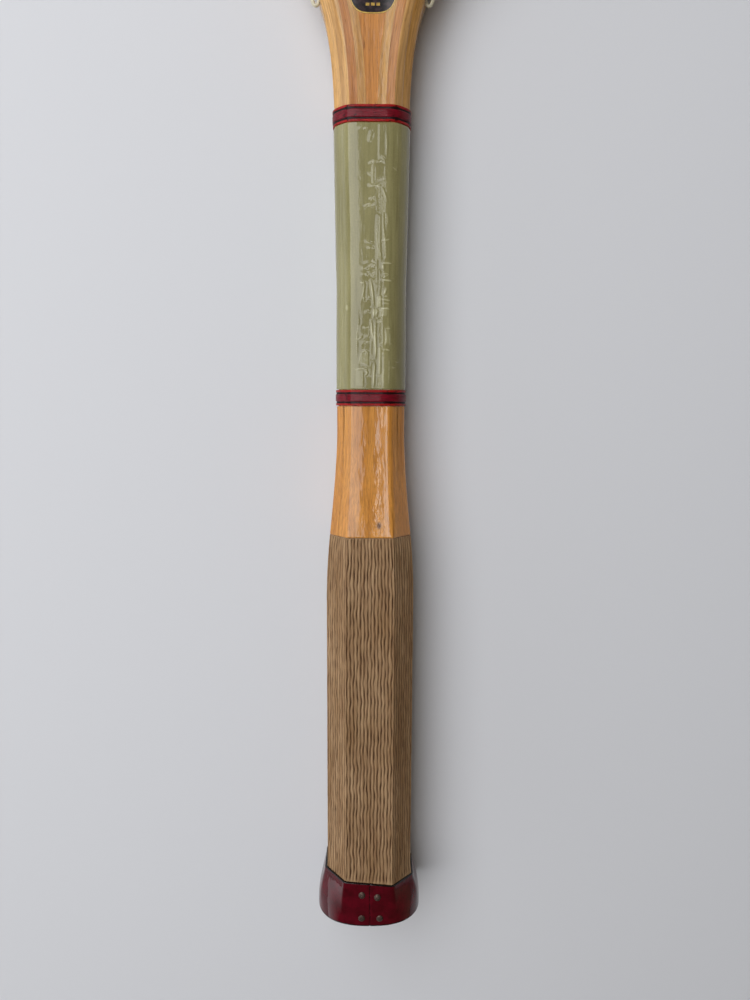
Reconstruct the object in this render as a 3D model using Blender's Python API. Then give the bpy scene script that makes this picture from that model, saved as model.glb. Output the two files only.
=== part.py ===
"""A wooden lawn racket with a laminated hoop, a combed octagonal grip and a woven string bed.

It lies face up: +Y runs from the butt to the head tip, +X across the face, +Z out of the face.
The origin is the middle of the butt end. All sizes are in metres.
"""

import bmesh
import bpy
import math
from mathutils import Matrix, Vector
from mathutils.geometry import tessellate_polygon
from mathutils.kdtree import KDTree

# Overall layout along the racket, measured from the butt end
LENGTH = 0.686
BUTT_BAND_TOP = 0.0185
COMB_TOP = 0.1643
SHOULDER_START = 0.146
SHOULDER_END = 0.207
SHOULDER_TOP = 0.2153
BINDING_LENGTH = 0.0061

# Distances below the lowest point of the head ellipse
UPPER_BINDING_DROP = 0.0762
SHAFT_PARALLEL_DROP = 0.140
THROAT_START_DROP = 0.107
THROAT_FULL_DROP = 0.040

# Head: the outer edge of the hoop is an ellipse
HEAD_HALF_WIDTH = 0.114
HEAD_HALF_LENGTH = 0.142
HOOP_HALF_DEPTH = 0.0095
HOOP_EDGE_ROUND = 0.0016
HOOP_INNER_ROUND = 0.0012
INNER_ROUND_FADE = 0.010

# Laminations, counted from the outer edge of the frame inwards
PLY_THICKNESS = 0.0028
SHAVED_PLY_THICKNESS = 0.0022
JOINT_GAP = 0.0003

# Shaft and throat
SHAFT_HALF_WIDTH = 0.0128
SHAFT_HALF_DEPTH = 0.0102
THROAT_HALF_WIDTH = 0.0135
THROAT_SLOPE = 0.02
THROAT_LOWER_PULL = 0.070
THROAT_UPPER_PULL = 0.080
TANGENT_ANGLE = math.radians(38)
HORN_TIP_THICKNESS = 0.0010

# Handle: an octagon that flares at the butt
GRIP_WIDTH = 0.0360
GRIP_DEPTH = 0.0330
GRIP_FACE_FLAT = 0.0196
GRIP_SIDE_FLAT = 0.0144
BUTT_WIDTH = 0.0392
BUTT_DEPTH = 0.0342
BUTT_FACE_FLAT = 0.0212
BUTT_SIDE_FLAT = 0.0156
FLARE_START = 0.022
FLARE_END = 0.004
FEATHER = 0.00035

# Combing of the grip
GROOVE_PITCH = 0.0014
GROOVE_DEPTH = 0.0005
GROOVE_HALF_WIDTH = 0.00045
GROOVE_CUT_LIFT = 0.0002
COMB_HIDDEN_LENGTH = 0.0015

# Wrapped sleeve and bindings
SLEEVE_WALL = 0.00035
SLEEVE_CLEARANCE = 0.00025
BINDING_WALL = 0.0009
BINDING_EDGE_WALL = 0.00055
BINDING_RING_WIDTH = 0.0011
BINDING_CORNER = 0.0008

# Leather butt band and its tacks
LEATHER_WALL = 0.0012
LEATHER_BUTT_WALL = 0.0009
LEATHER_EDGE_WALL = 0.0004
LEATHER_SKIVE_LENGTH = 0.0020
LEATHER_CORNER = 0.0012
SEAM_X = 0.0005
SEAM_GAP = 0.0004
TACK_HEAD_RADIUS = 0.00125
TACK_CROWN_RADIUS = 0.00075
TACK_HEAD_HEIGHT = 0.0005
TACK_CROWN_DROP = 0.0001
TACK_RIM_HEIGHT = 0.0001
TACK_SHANK_RADIUS = 0.0005
TACK_SHANK_LENGTH = 0.006
TACK_POINT_LENGTH = 0.0015
TACK_SIDES = 8
TACK_LEFT_X = -0.0030
TACK_UPPER_RIGHT_X = 0.0031
TACK_LOWER_RIGHT_X = 0.0041
TACK_UPPER_LEFT_Y = 0.0131
TACK_UPPER_RIGHT_Y = 0.0127
TACK_LOWER_Y = 0.0040

# Stringing
MAIN_COUNT = 16
CROSS_COUNT = 18
MAIN_EDGE_MARGIN = 0.0100
CROSS_EDGE_MARGIN = 0.0164
STRING_RADIUS = 0.000675
STRING_LANE = 0.0016
LAST_CROSSING_MARGIN = 0.0025
STRING_GROOVE_DEPTH = 0.0019

# Heights on the throat's sides, from the lowest point of the head ellipse: where the four middle
# pairs of main strings come out, and where the string groove begins
FIRST_EXIT = -0.0385
SECOND_EXIT = -0.0175
THIRD_EXIT = -0.0010
FOURTH_EXIT = 0.0110
STRING_GROOVE_START = 0.017

# Fineness of the shapes
STRING_SIDES = 4
OUTER_HOLE_SIDES = 5
THROAT_STEPS = 10
SHOULDER_STEPS = 3
BOW_STEPS = 18
FLARE_STEPS = 3
LEAST_STATION_STEP = 0.008
LEAST_HEIGHT_STEP = 0.0005
STRING_BEND_STEP = 0.009
SHARP_BEND = math.radians(35)
BEND_ARC = math.radians(90)
CUTTER_OVERSHOOT = 0.003
GAP_SAMPLE_STEP = 0.0005
GAP_NEIGHBOUR_LENGTH = 0.008
SMOOTH_ANGLE = math.radians(40)

# Values that follow from the sizes above
GRIP_OCTAGON = (GRIP_WIDTH / 2, GRIP_DEPTH / 2, GRIP_FACE_FLAT / 2, GRIP_SIDE_FLAT / 2)
BUTT_OCTAGON = (BUTT_WIDTH / 2, BUTT_DEPTH / 2, BUTT_FACE_FLAT / 2, BUTT_SIDE_FLAT / 2)
HEAD_CENTRE = LENGTH - HEAD_HALF_LENGTH
HEAD_BOTTOM = HEAD_CENTRE - HEAD_HALF_LENGTH
SHAFT_PARALLEL_END = HEAD_BOTTOM - SHAFT_PARALLEL_DROP
THROAT_START = HEAD_BOTTOM - THROAT_START_DROP
THROAT_FULL = HEAD_BOTTOM - THROAT_FULL_DROP
UPPER_BINDING_END = HEAD_BOTTOM - UPPER_BINDING_DROP
THROAT_EXITS = [HEAD_BOTTOM + rise for rise in (FIRST_EXIT, SECOND_EXIT, THIRD_EXIT, FOURTH_EXIT)]
HOOP_THICKNESS = 4 * PLY_THICKNESS + 3 * JOINT_GAP
SHAFT_CHAMFER = SHAVED_PLY_THICKNESS + JOINT_GAP + PLY_THICKNESS
STEP_HEIGHT = JOINT_GAP + FEATHER
WEAVE_RISE = STRING_RADIUS + JOINT_GAP / 2
OUTER_HOLE_RADIUS = (STRING_RADIUS + JOINT_GAP) / math.cos(math.pi / OUTER_HOLE_SIDES)
INNER_HOLE_RADIUS = STRING_RADIUS + JOINT_GAP / math.cos(math.pi / STRING_SIDES)
STRING_GROOVE_HALF = STRING_LANE + STRING_RADIUS + JOINT_GAP
MAIN_PITCH = 2 * (HEAD_HALF_WIDTH - HOOP_THICKNESS - MAIN_EDGE_MARGIN) / (MAIN_COUNT - 1)
CROSS_PITCH = 2 * (HEAD_HALF_LENGTH - HOOP_THICKNESS - CROSS_EDGE_MARGIN) / (CROSS_COUNT - 1)
LOWER_BINDING_START = SHOULDER_TOP + JOINT_GAP
SLEEVE_START = LOWER_BINDING_START + BINDING_LENGTH + JOINT_GAP
UPPER_BINDING_START = UPPER_BINDING_END - BINDING_LENGTH
SLEEVE_END = UPPER_BINDING_START - JOINT_GAP


def clear_scene():
    for item in list(bpy.data.objects):
        bpy.data.objects.remove(item, do_unlink=True)


def material(name, colour, roughness, metallic=0.0):
    made = bpy.data.materials.new(name)
    made.use_nodes = True
    shader = made.node_tree.nodes["Principled BSDF"]
    shader.inputs["Base Color"].default_value = (*colour, 1.0)
    shader.inputs["Roughness"].default_value = roughness
    shader.inputs["Metallic"].default_value = metallic
    made.diffuse_color = (*colour, 1.0)
    return made


def new_object(name, mesh_data, finish=None):
    """Turn a bmesh into a named object with its faces pointing out."""
    bmesh.ops.recalc_face_normals(mesh_data, faces=mesh_data.faces)
    mesh = bpy.data.meshes.new(name)
    mesh_data.to_mesh(mesh)
    mesh_data.free()
    item = bpy.data.objects.new(name, mesh)
    bpy.context.scene.collection.objects.link(item)
    if finish is not None:
        mesh.materials.append(finish)
        mesh.shade_smooth()
        mesh.set_sharp_from_angle(angle=SMOOTH_ANGLE)
    return item


def add_loft(mesh_data, rings, closed=False):
    """Skin a row of rings with quads. An open loft gets a cap at each end."""
    rows = [[mesh_data.verts.new(point) for point in ring] for ring in rings]
    pairs = list(zip(rows, rows[1:]))
    if closed:
        pairs.append((rows[-1], rows[0]))
    for low, high in pairs:
        count = len(low)
        for i in range(count):
            j = (i + 1) % count
            mesh_data.faces.new((low[i], low[j], high[j], high[i]))
    if not closed:
        mesh_data.faces.new(rows[0])
        mesh_data.faces.new(rows[-1])


def cut(target, cutter):
    """Subtract a hidden cutter from a piece."""
    cutter.hide_render = True
    cutter.display_type = "WIRE"
    step = target.modifiers.new("cut " + cutter.name, "BOOLEAN")
    step.operation = "DIFFERENCE"
    step.solver = "EXACT"
    step.object = cutter


def ease(value, start, end):
    """Smooth step from 0 at start to 1 at end."""
    u = min(1.0, max(0.0, (value - start) / (end - start)))
    return u * u * (3.0 - 2.0 * u)


def mix(first, second, share):
    return first + (second - first) * share


# Frame outline

def ellipse_point(angle):
    """Point and outward normal on the head ellipse. Angle 0 is at the throat, pi at the tip."""
    point = Vector((HEAD_HALF_WIDTH * math.sin(angle), HEAD_CENTRE - HEAD_HALF_LENGTH * math.cos(angle)))
    normal = Vector((math.sin(angle) / HEAD_HALF_WIDTH, -math.cos(angle) / HEAD_HALF_LENGTH))
    return point, normal.normalized()


def throat_point(u):
    """Point and outward normal on the curve that sweeps from the shaft into the head."""
    start = Vector((THROAT_HALF_WIDTH, THROAT_START))
    end, end_normal = ellipse_point(TANGENT_ANGLE)
    start_pull = start + Vector((THROAT_SLOPE, 1.0)).normalized() * THROAT_LOWER_PULL
    end_pull = end - Vector((-end_normal.y, end_normal.x)) * THROAT_UPPER_PULL
    v = 1.0 - u
    point = v ** 3 * start + 3 * v * v * u * start_pull + 3 * v * u * u * end_pull + u ** 3 * end
    slope = v * v * (start_pull - start) + 2 * v * u * (end_pull - start_pull) + u * u * (end - end_pull)
    return point, Vector((slope.y, -slope.x)).normalized()


def straight_point(y):
    """Point and outward normal on the side of the shaft below the throat."""
    share = max(0.0, (y - SHAFT_PARALLEL_END) / (THROAT_START - SHAFT_PARALLEL_END))
    point = Vector((mix(SHAFT_HALF_WIDTH, THROAT_HALF_WIDTH, share), y))
    return point, Vector((1.0, 0.0))


def throat_share(y):
    """Share along the throat curve at which it reaches a height above the butt."""
    low, high = 0.0, 1.0
    for _ in range(40):
        middle = (low + high) / 2
        if throat_point(middle)[0].y < y:
            low = middle
        else:
            high = middle
    return low


def outline_at(y):
    """Right-hand outline point and normal at a height below the head's tangent point."""
    if y < THROAT_START:
        return straight_point(y)
    return throat_point(throat_share(y))


def hoop_angles():
    """Angles of the hoop's stations: midway between string holes, but not too close, and the tip."""
    holes = [main_angles(i)[side] for i in range(MAIN_COUNT // 2, MAIN_COUNT) for side in (0, 1)]
    holes = sorted(holes + [cross_angle(j) for j in range(CROSS_COUNT)])
    angles = [TANGENT_ANGLE]
    for angle in [(a + b) / 2 for a, b in zip(holes, holes[1:])]:
        if angle > TANGENT_ANGLE and ellipse_gap(angles[-1], angle) > LEAST_STATION_STEP:
            angles.append(angle)
    return angles + [math.pi]


def ellipse_gap(first, second):
    return (ellipse_point(second)[0] - ellipse_point(first)[0]).length


def shoulder_heights():
    """Heights at which the handle's taper is shaped, with one where the combing ends."""
    taper = [mix(COMB_TOP, SHOULDER_END, i / SHOULDER_STEPS) for i in range(SHOULDER_STEPS + 1)]
    return [SHOULDER_START] + taper + [SHOULDER_TOP]


def half_outline(tapered):
    """Stations on the right half of the frame, from the butt to the head tip.

    Only pieces that the handle's taper cuts into need stations along it.
    """
    heights = [0.0]
    for y in sorted((shoulder_heights() if tapered else []) + [SHAFT_PARALLEL_END]):
        if heights[-1] + LEAST_HEIGHT_STEP < y < THROAT_START - LEAST_HEIGHT_STEP:
            heights.append(y)
    stations = [straight_point(y) for y in heights]
    stations += [throat_point(i / THROAT_STEPS) for i in range(THROAT_STEPS)]
    return stations + [ellipse_point(angle) for angle in hoop_angles()]


def groove_outline():
    """Stations of the right half from where the string groove begins."""
    start = HEAD_BOTTOM + STRING_GROOVE_START
    stations = [entry for entry in half_outline(False) if entry[0].y > start + LEAST_STATION_STEP / 2]
    return [outline_at(start)] + stations


def mirrored(right):
    """A half outline made whole: from its left start, round the head tip, to its right start."""
    left = [(Vector((-p.x, p.y)), Vector((-n.x, n.y))) for p, n in right[:-1]]
    return left + right[::-1]


# Frame section

def outer_ply_thickness(y):
    """The outer ply is planed thinner along the shaft."""
    return mix(SHAVED_PLY_THICKNESS, PLY_THICKNESS, ease(y, SHAFT_PARALLEL_END, THROAT_FULL))


def ply_offsets(index, y):
    """Distances of a ply's two faces in from the frame's outer edge."""
    outer = outer_ply_thickness(y)
    if index == 0:
        return 0.0, outer
    start = outer + JOINT_GAP + (index - 1) * (PLY_THICKNESS + JOINT_GAP)
    return start, start + PLY_THICKNESS


def head_share(y):
    """0 on the shaft, 1 where the head ellipse begins."""
    return ease(y, UPPER_BINDING_END, ellipse_point(TANGENT_ANGLE)[0].y)


def face_height(y):
    return mix(SHAFT_HALF_DEPTH, HOOP_HALF_DEPTH, head_share(y))


def section_height(y, x, offset):
    """Half depth of the frame at a distance in from its outer edge."""
    if y <= SHOULDER_TOP:
        return min(SHAFT_HALF_DEPTH, bevel_z(grow(handle_octagon(y), -STEP_HEIGHT), x - offset))
    share = head_share(y)
    reach = outer_ply_thickness(y) + JOINT_GAP + PLY_THICKNESS * (1.0 - share)
    drop = mix(SHAFT_CHAMFER, HOOP_EDGE_ROUND, share)
    return face_height(y) - drop * max(0.0, 1.0 - offset / reach)


# Octagons of the handle, the shaft and what is wrapped round them

def blend_octagon(first, second, share):
    return tuple(mix(a, b, share) for a, b in zip(first, second))


def grow(octagon, distance):
    """Move every side of an octagon outwards by the same distance."""
    half_width, half_depth, face_flat, side_flat = octagon
    normal = Vector((half_depth - side_flat, half_width - face_flat)).normalized()
    reach = normal.x * half_width + normal.y * side_flat + distance
    wide, deep = half_width + distance, half_depth + distance
    return wide, deep, (reach - normal.y * deep) / normal.x, (reach - normal.x * wide) / normal.y


def shaft_octagon(y):
    half_width = outline_at(y)[0].x
    return half_width, SHAFT_HALF_DEPTH, half_width - SHAFT_CHAMFER, SHAFT_HALF_DEPTH - SHAFT_CHAMFER


def handle_octagon(y):
    """Outer faces of the handle: butt flare, parallel grip and the taper of the shoulder."""
    if y < FLARE_START:
        return blend_octagon(BUTT_OCTAGON, GRIP_OCTAGON, ease(y, FLARE_END, FLARE_START))
    top = grow(shaft_octagon(SHOULDER_TOP), STEP_HEIGHT)
    return blend_octagon(GRIP_OCTAGON, top, ease(y, SHOULDER_START, SHOULDER_TOP))


def octagon_corners(octagon, corner=0.0):
    """Corner points in the X-Z plane, counted from the face flat's right end towards +X.

    With a corner size each corner becomes two points.
    """
    half_width, half_depth, face_flat, side_flat = octagon
    quarter = [Vector((face_flat, half_depth)), Vector((half_width, side_flat))]
    corners = quarter + [Vector((p.x, -p.y)) for p in reversed(quarter)]
    corners += [Vector((-p.x, -p.y)) for p in quarter]
    corners += [Vector((-p.x, p.y)) for p in reversed(quarter)]
    if corner == 0.0:
        return corners
    points = []
    for i, point in enumerate(corners):
        before = (corners[i - 1] - point).normalized()
        after = (corners[(i + 1) % len(corners)] - point).normalized()
        points += [point + before * corner, point + after * corner]
    return points


def ring_at(points, y):
    return [Vector((p.x, y, p.y)) for p in points]


# Laminated frame

def build_ply(index, name, finish):
    rings = []
    horn_y = ellipse_point(TANGENT_ANGLE)[0].y
    for point, normal in mirrored(half_outline(index < 2)):
        y = point.y
        outer, inner = ply_offsets(index, y)
        high = section_height(y, abs(point.x), outer)
        low = section_height(y, abs(point.x), inner)
        if index == 3:
            low -= HOOP_INNER_ROUND * ease(y, horn_y - INNER_ROUND_FADE, horn_y + INNER_ROUND_FADE)
        edge = point - normal * outer
        back = point - normal * inner
        rings.append([
            Vector((edge.x, edge.y, high)),
            Vector((back.x, back.y, low)),
            Vector((back.x, back.y, -low)),
            Vector((edge.x, edge.y, -high)),
        ])
    mesh_data = bmesh.new()
    add_loft(mesh_data, rings)
    return new_object(name, mesh_data, finish)


def wedge_side():
    """Right edge of the throat wedge, from the butt to the tip of its horn."""
    side = []
    for point, normal in half_outline(False):
        inner = ply_offsets(3, point.y)[1] + JOINT_GAP
        edge = point - normal * inner
        if edge.y > HEAD_CENTRE or not is_horn_thick(edge):
            break
        side.append(edge)
    return side


def bow_height(x):
    """Height of the bow, the concave top edge of the wedge, at a distance from the middle."""
    low, high = 0.0, math.pi / 2
    for _ in range(40):
        middle = (low + high) / 2
        point, normal = ellipse_point(middle)
        if (point - normal * HOOP_THICKNESS).x < x:
            low = middle
        else:
            high = middle
    point, normal = ellipse_point(low)
    return (point - normal * HOOP_THICKNESS).y


def is_horn_thick(edge):
    return edge.x < HEAD_HALF_WIDTH / 2 and bow_height(edge.x) - edge.y > HORN_TIP_THICKNESS


def build_wedge(name, finish):
    """The core between the two legs of the hoop, from the butt to the bow that closes the head."""
    side = wedge_side()
    tip_x = side[-1].x
    places = [tip_x * (1 - 2 * i / BOW_STEPS) for i in range(BOW_STEPS + 1)]
    bow = [Vector((x, bow_height(abs(x)))) for x in places]
    loop = side + bow + [Vector((-p.x, p.y)) for p in reversed(side)]
    flat = [Vector((p.x, p.y, 0.0)) for p in loop]
    triangles = tessellate_polygon([flat])
    mesh_data = bmesh.new()
    top = [mesh_data.verts.new((p.x, p.y, face_height(p.y))) for p in loop]
    bottom = [mesh_data.verts.new((p.x, p.y, -face_height(p.y))) for p in loop]
    for a, b, c in triangles:
        mesh_data.faces.new((top[a], top[b], top[c]))
        mesh_data.faces.new((bottom[c], bottom[b], bottom[a]))
    for i in range(len(loop)):
        j = (i + 1) % len(loop)
        mesh_data.faces.new((top[i], bottom[i], bottom[j], top[j]))
    return new_object(name, mesh_data, finish)


# Stringing

def solve_angle(test, low, high):
    """Ellipse angle at which a falling or rising test changes from true to false."""
    for _ in range(40):
        middle = (low + high) / 2
        if test(middle):
            low = middle
        else:
            high = middle
    return low


def inner_point(angle):
    """Where a string bends out of the bed towards its hole, just clear of the hoop's inner edge."""
    point, normal = ellipse_point(angle)
    return point - normal * (HOOP_THICKNESS + STRING_RADIUS + JOINT_GAP)


def hole_for_angle(angle):
    """Inner end, outer end and direction of a string hole drilled square to the hoop."""
    point, normal = ellipse_point(angle)
    inside = inner_point(angle)
    if angle >= TANGENT_ANGLE:
        return inside, point, normal
    low, high = 0.0, HOOP_THICKNESS
    for _ in range(40):
        middle = (low + high) / 2
        outside = point + normal * middle
        if outside.x < outline_at(outside.y)[0].x:
            low = middle
        else:
            high = middle
    outside = point + normal * low
    return inside, outside, outline_at(outside.y)[1]


def mirror_hole(hole):
    return tuple(Vector((-v.x, v.y)) for v in hole)


def main_x(index):
    return (index - (MAIN_COUNT - 1) / 2) * MAIN_PITCH


def main_angles(index):
    """Ellipse angles at which a main string meets the bottom and the top of the hoop."""
    reach = abs(main_x(index))
    quarter = math.pi / 2
    bottom = solve_angle(lambda a: inner_point(a).x < reach, 0.0, quarter)
    return bottom, solve_angle(lambda a: inner_point(a).x > reach, quarter, math.pi)


def cross_angle(index):
    """Ellipse angle at which a cross string meets the right side of the hoop."""
    y = HEAD_CENTRE + (index - (CROSS_COUNT - 1) / 2) * CROSS_PITCH
    return solve_angle(lambda a: inner_point(a).y < y, 0.0, math.pi)


def main_holes(index):
    """Bottom and top hole of a main string, as inner end, outer end and surface normal."""
    x = main_x(index)
    rank = int(abs(x) / MAIN_PITCH)
    bottom, top = [hole_for_angle(angle) for angle in main_angles(index)]
    if rank < len(THROAT_EXITS):
        outside, normal = outline_at(THROAT_EXITS[rank])
        bottom = (bottom[0], outside, normal)
    if x < 0:
        bottom, top = mirror_hole(bottom), mirror_hole(top)
    return bottom, top


def cross_holes(index):
    """Left and right hole of a cross string."""
    right = hole_for_angle(cross_angle(index))
    return mirror_hole(right), right


def woven(start, end, crossings, lane):
    """Points of one string across the bed, over and under the strings that it meets."""
    points = [Vector((start.x, start.y, lane))]
    points += [Vector(crossing) for crossing in crossings]
    points.append(Vector((end.x, end.y, lane)))
    return points


def crossing_side(i, j):
    return WEAVE_RISE if (i + j) % 2 == 0 else -WEAVE_RISE


def is_crossing(x, y):
    """Whether a crossing lies far enough inside the hoop for the strings to be woven there."""
    inset = HOOP_THICKNESS + LAST_CROSSING_MARGIN
    across = x / (HEAD_HALF_WIDTH - inset)
    along = (y - HEAD_CENTRE) / (HEAD_HALF_LENGTH - inset)
    return across * across + along * along < 1.0


def bed_points(mains, crosses):
    """Bed stretches of all mains, bottom to top, and of all crosses, left to right."""
    columns = [(i, main[0][0].x) for i, main in enumerate(mains)]
    rows = [(j, cross[0][0].y) for j, cross in enumerate(crosses)]
    main_runs, cross_runs = [], []
    for i, x in columns:
        met = [(x, y, crossing_side(i, j)) for j, y in rows if is_crossing(x, y)]
        main_runs.append(woven(mains[i][0][0], mains[i][1][0], met, STRING_LANE))
    for j, y in rows:
        met = [(x, y, -crossing_side(i, j)) for i, x in columns if is_crossing(x, y)]
        cross_runs.append(woven(crosses[j][0][0], crosses[j][1][0], met, -STRING_LANE))
    return main_runs, cross_runs


def rounded(points, radius):
    """Replace sharp corners of a path by short arcs."""
    path = [points[0]]
    for before, corner, after in zip(points, points[1:], points[2:]):
        entry = (before - corner).normalized()
        leave = (after - corner).normalized()
        turn = math.pi - entry.angle(leave)
        if turn < SHARP_BEND:
            path.append(corner)
            continue
        back = radius * math.tan(turn / 2)
        count = max(1, round(turn / BEND_ARC))
        centre = corner + (entry + leave).normalized() * radius / math.cos(turn / 2)
        first = corner + entry * back - centre
        last = corner + leave * back - centre
        for k in range(count + 1):
            share = k / count
            arm = (first * math.sin((1 - share) * turn) + last * math.sin(share * turn)) / math.sin(turn)
            path.append(centre + arm)
    path.append(points[-1])
    return path


def groove_turn(hole, lane):
    """Where a string turns from its hole into the groove."""
    _, outside, normal = hole
    point = outside + normal * (STRING_RADIUS + JOINT_GAP - STRING_GROOVE_DEPTH)
    return Vector((point.x, point.y, lane))


def throat_turn(hole, partner, lane):
    """How a string leaves a slanting throat hole, which has no groove.

    It bends just clear of the wood. Where its partner lies behind it, it doubles back.
    """
    inside, outside, normal = hole
    along = (outside - inside).normalized()
    bend = outside + along * ((STRING_RADIUS + JOINT_GAP) / along.dot(normal))
    turns = [Vector((bend.x, bend.y, lane))]
    if (partner[1] - outside).dot(along) < 0:
        back = bend + normal * (2 * STRING_RADIUS)
        turns.append(Vector((back.x, back.y, lane)))
    return turns


def in_groove(hole):
    return hole[1].y >= HEAD_BOTTOM + STRING_GROOVE_START


def loop_points(first, second, lane):
    """Path outside the hoop from one hole to the next."""
    ends = []
    for hole, partner in ((first, second), (second, first)):
        ends.append([groove_turn(hole, lane)] if in_groove(hole) else throat_turn(hole, partner, lane))
    middle = groove_points(first, second, lane) if in_groove(first) and in_groove(second) else []
    return ends[0] + middle + ends[1][::-1]


def groove_points(first, second, lane):
    """Points between two holes that keep the string on the floor of the groove."""
    depth = STRING_GROOVE_DEPTH - STRING_RADIUS - JOINT_GAP
    count = int((second[1] - first[1]).length / STRING_BEND_STEP)
    points = []
    for k in range(1, count + 1):
        share = k / (count + 1)
        guess = first[1].lerp(second[1], share)
        point, normal = nearest_outline(guess)
        point = point - normal * depth
        points.append(Vector((point.x, point.y, lane)))
    return points


def nearest_outline(guess):
    """Outline point that lies straight out from a point close inside it."""
    on_left = guess.x < 0
    seen = Vector((abs(guess.x), guess.y))
    tangent_y = ellipse_point(TANGENT_ANGLE)[0].y
    if seen.y < tangent_y:
        point, normal = outline_at(seen.y)
    else:
        angle = math.atan2(seen.x / HEAD_HALF_WIDTH, (HEAD_CENTRE - seen.y) / HEAD_HALF_LENGTH)
        point, normal = ellipse_point(angle)
    if on_left:
        return Vector((-point.x, point.y)), Vector((-normal.x, normal.y))
    return point, normal


def thread(runs, hole_pairs, lane):
    """Join the bed stretches into one unbroken string, looping outside the hoop between them."""
    path = []
    upwards = False
    for index, run in enumerate(runs):
        low, high = hole_pairs[index]
        start, end = (low, high) if upwards else (high, low)
        stretch = run if upwards else run[::-1]
        if index == 0:
            path.append(groove_turn(start, lane))
        path += stretch
        if index + 1 < len(runs):
            following = hole_pairs[index + 1][1 if upwards else 0]
            path += loop_points(end, following, lane)
        else:
            path.append(groove_turn(end, lane))
        upwards = not upwards
    return rounded(path, STRING_RADIUS + JOINT_GAP / 2)


def add_tube(mesh_data, path, radius, sides):
    """Sweep a regular section along a path that never runs along Z."""
    rings = []
    for i, point in enumerate(path):
        before = (point - path[i - 1]).normalized() if i > 0 else None
        after = (path[i + 1] - point).normalized() if i + 1 < len(path) else None
        along = ((before or after) + (after or before)).normalized()
        side = along.cross(Vector((0, 0, 1))).normalized()
        up = side.cross(along)
        stretch = 1.0 / max(0.5, along.dot(after or before))
        ring = []
        for k in range(sides):
            angle = 2 * math.pi * k / sides + math.pi / 2
            across, above = radius * stretch * math.cos(angle), radius * math.sin(angle)
            ring.append(point + side * across + up * above)
        rings.append(ring)
    add_loft(mesh_data, rings)


def least_gap(path, radius):
    """Smallest clearance between stretches of one string that aren't neighbours along it."""
    samples = []
    travelled = 0.0
    for start, end in zip(path, path[1:]):
        length = (end - start).length
        count = max(1, math.ceil(length / GAP_SAMPLE_STEP))
        samples += [(start.lerp(end, k / count), travelled + length * k / count) for k in range(count)]
        travelled += length
    tree = KDTree(len(samples))
    for index, (point, _) in enumerate(samples):
        tree.insert(point, index)
    tree.balance()
    nearest = MAIN_PITCH
    for point, place in samples:
        for _, index, distance in tree.find_range(point, nearest):
            if abs(samples[index][1] - place) > GAP_NEIGHBOUR_LENGTH:
                nearest = min(nearest, distance)
    return nearest - 2 * radius


def build_strings(finish):
    mains = [main_holes(i) for i in range(MAIN_COUNT)]
    crosses = [cross_holes(j) for j in range(CROSS_COUNT)]
    main_runs, cross_runs = bed_points(mains, crosses)
    for name, runs, pairs, lane in (
        ("main_string", main_runs, mains, STRING_LANE),
        ("cross_string", cross_runs, crosses, -STRING_LANE),
    ):
        path = thread(runs, pairs, lane)
        print(name, "least gap to itself, mm:", round(1000 * least_gap(path, STRING_RADIUS), 2))
        mesh_data = bmesh.new()
        add_tube(mesh_data, path, STRING_RADIUS, STRING_SIDES)
        new_object(name, mesh_data, finish)
    return mains, crosses


def build_hole_cutter(name, mains, crosses, radius, sides):
    """One prism for each string hole, long enough to pierce every ply."""
    mesh_data = bmesh.new()
    for pairs, lane in ((mains, STRING_LANE), (crosses, -STRING_LANE)):
        for pair in pairs:
            for inside, outside, _ in pair:
                along = (outside - inside).normalized()
                start = inside - along * CUTTER_OVERSHOOT
                end = outside + along * CUTTER_OVERSHOOT
                add_tube(mesh_data, [Vector((*start, lane)), Vector((*end, lane))], radius, sides)
    return new_object(name, mesh_data)


def build_groove_cutter():
    """The string groove round the outer edge of the head."""
    rings = []
    for point, normal in mirrored(groove_outline()):
        floor = point - normal * STRING_GROOVE_DEPTH
        clear = point + normal * CUTTER_OVERSHOOT
        rings.append([
            Vector((floor.x, floor.y, STRING_GROOVE_HALF)),
            Vector((clear.x, clear.y, STRING_GROOVE_HALF)),
            Vector((clear.x, clear.y, -STRING_GROOVE_HALF)),
            Vector((floor.x, floor.y, -STRING_GROOVE_HALF)),
        ])
    mesh_data = bmesh.new()
    add_loft(mesh_data, rings)
    return new_object("string_groove_cutter", mesh_data)


# Handle

def handle_stations():
    flare = [mix(FLARE_END, FLARE_START, i / FLARE_STEPS) for i in range(FLARE_STEPS + 1)]
    return [0.0] + flare + shoulder_heights()


def bevel_x(octagon, z):
    """Where the sloping face of an octagon reaches a height."""
    half_width, half_depth, face_flat, side_flat = octagon
    return half_width - (z - side_flat) * (half_width - face_flat) / (half_depth - side_flat)


def bevel_z(octagon, x):
    """Height of the sloping face of an octagon at a distance from the middle."""
    half_width, half_depth, face_flat, side_flat = octagon
    return side_flat + (half_width - x) * (half_depth - side_flat) / (half_width - face_flat)


def cheek_section(y):
    """Section of the front cheek, which lies on the face of the shaft."""
    octagon = handle_octagon(y)
    seat = SHAFT_HALF_DEPTH + JOINT_GAP
    foot = bevel_x(octagon, seat)
    face_flat, half_depth = octagon[2], octagon[1]
    return [
        Vector((-foot, seat)),
        Vector((foot, seat)),
        Vector((face_flat, half_depth)),
        Vector((-face_flat, half_depth)),
    ]


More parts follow.
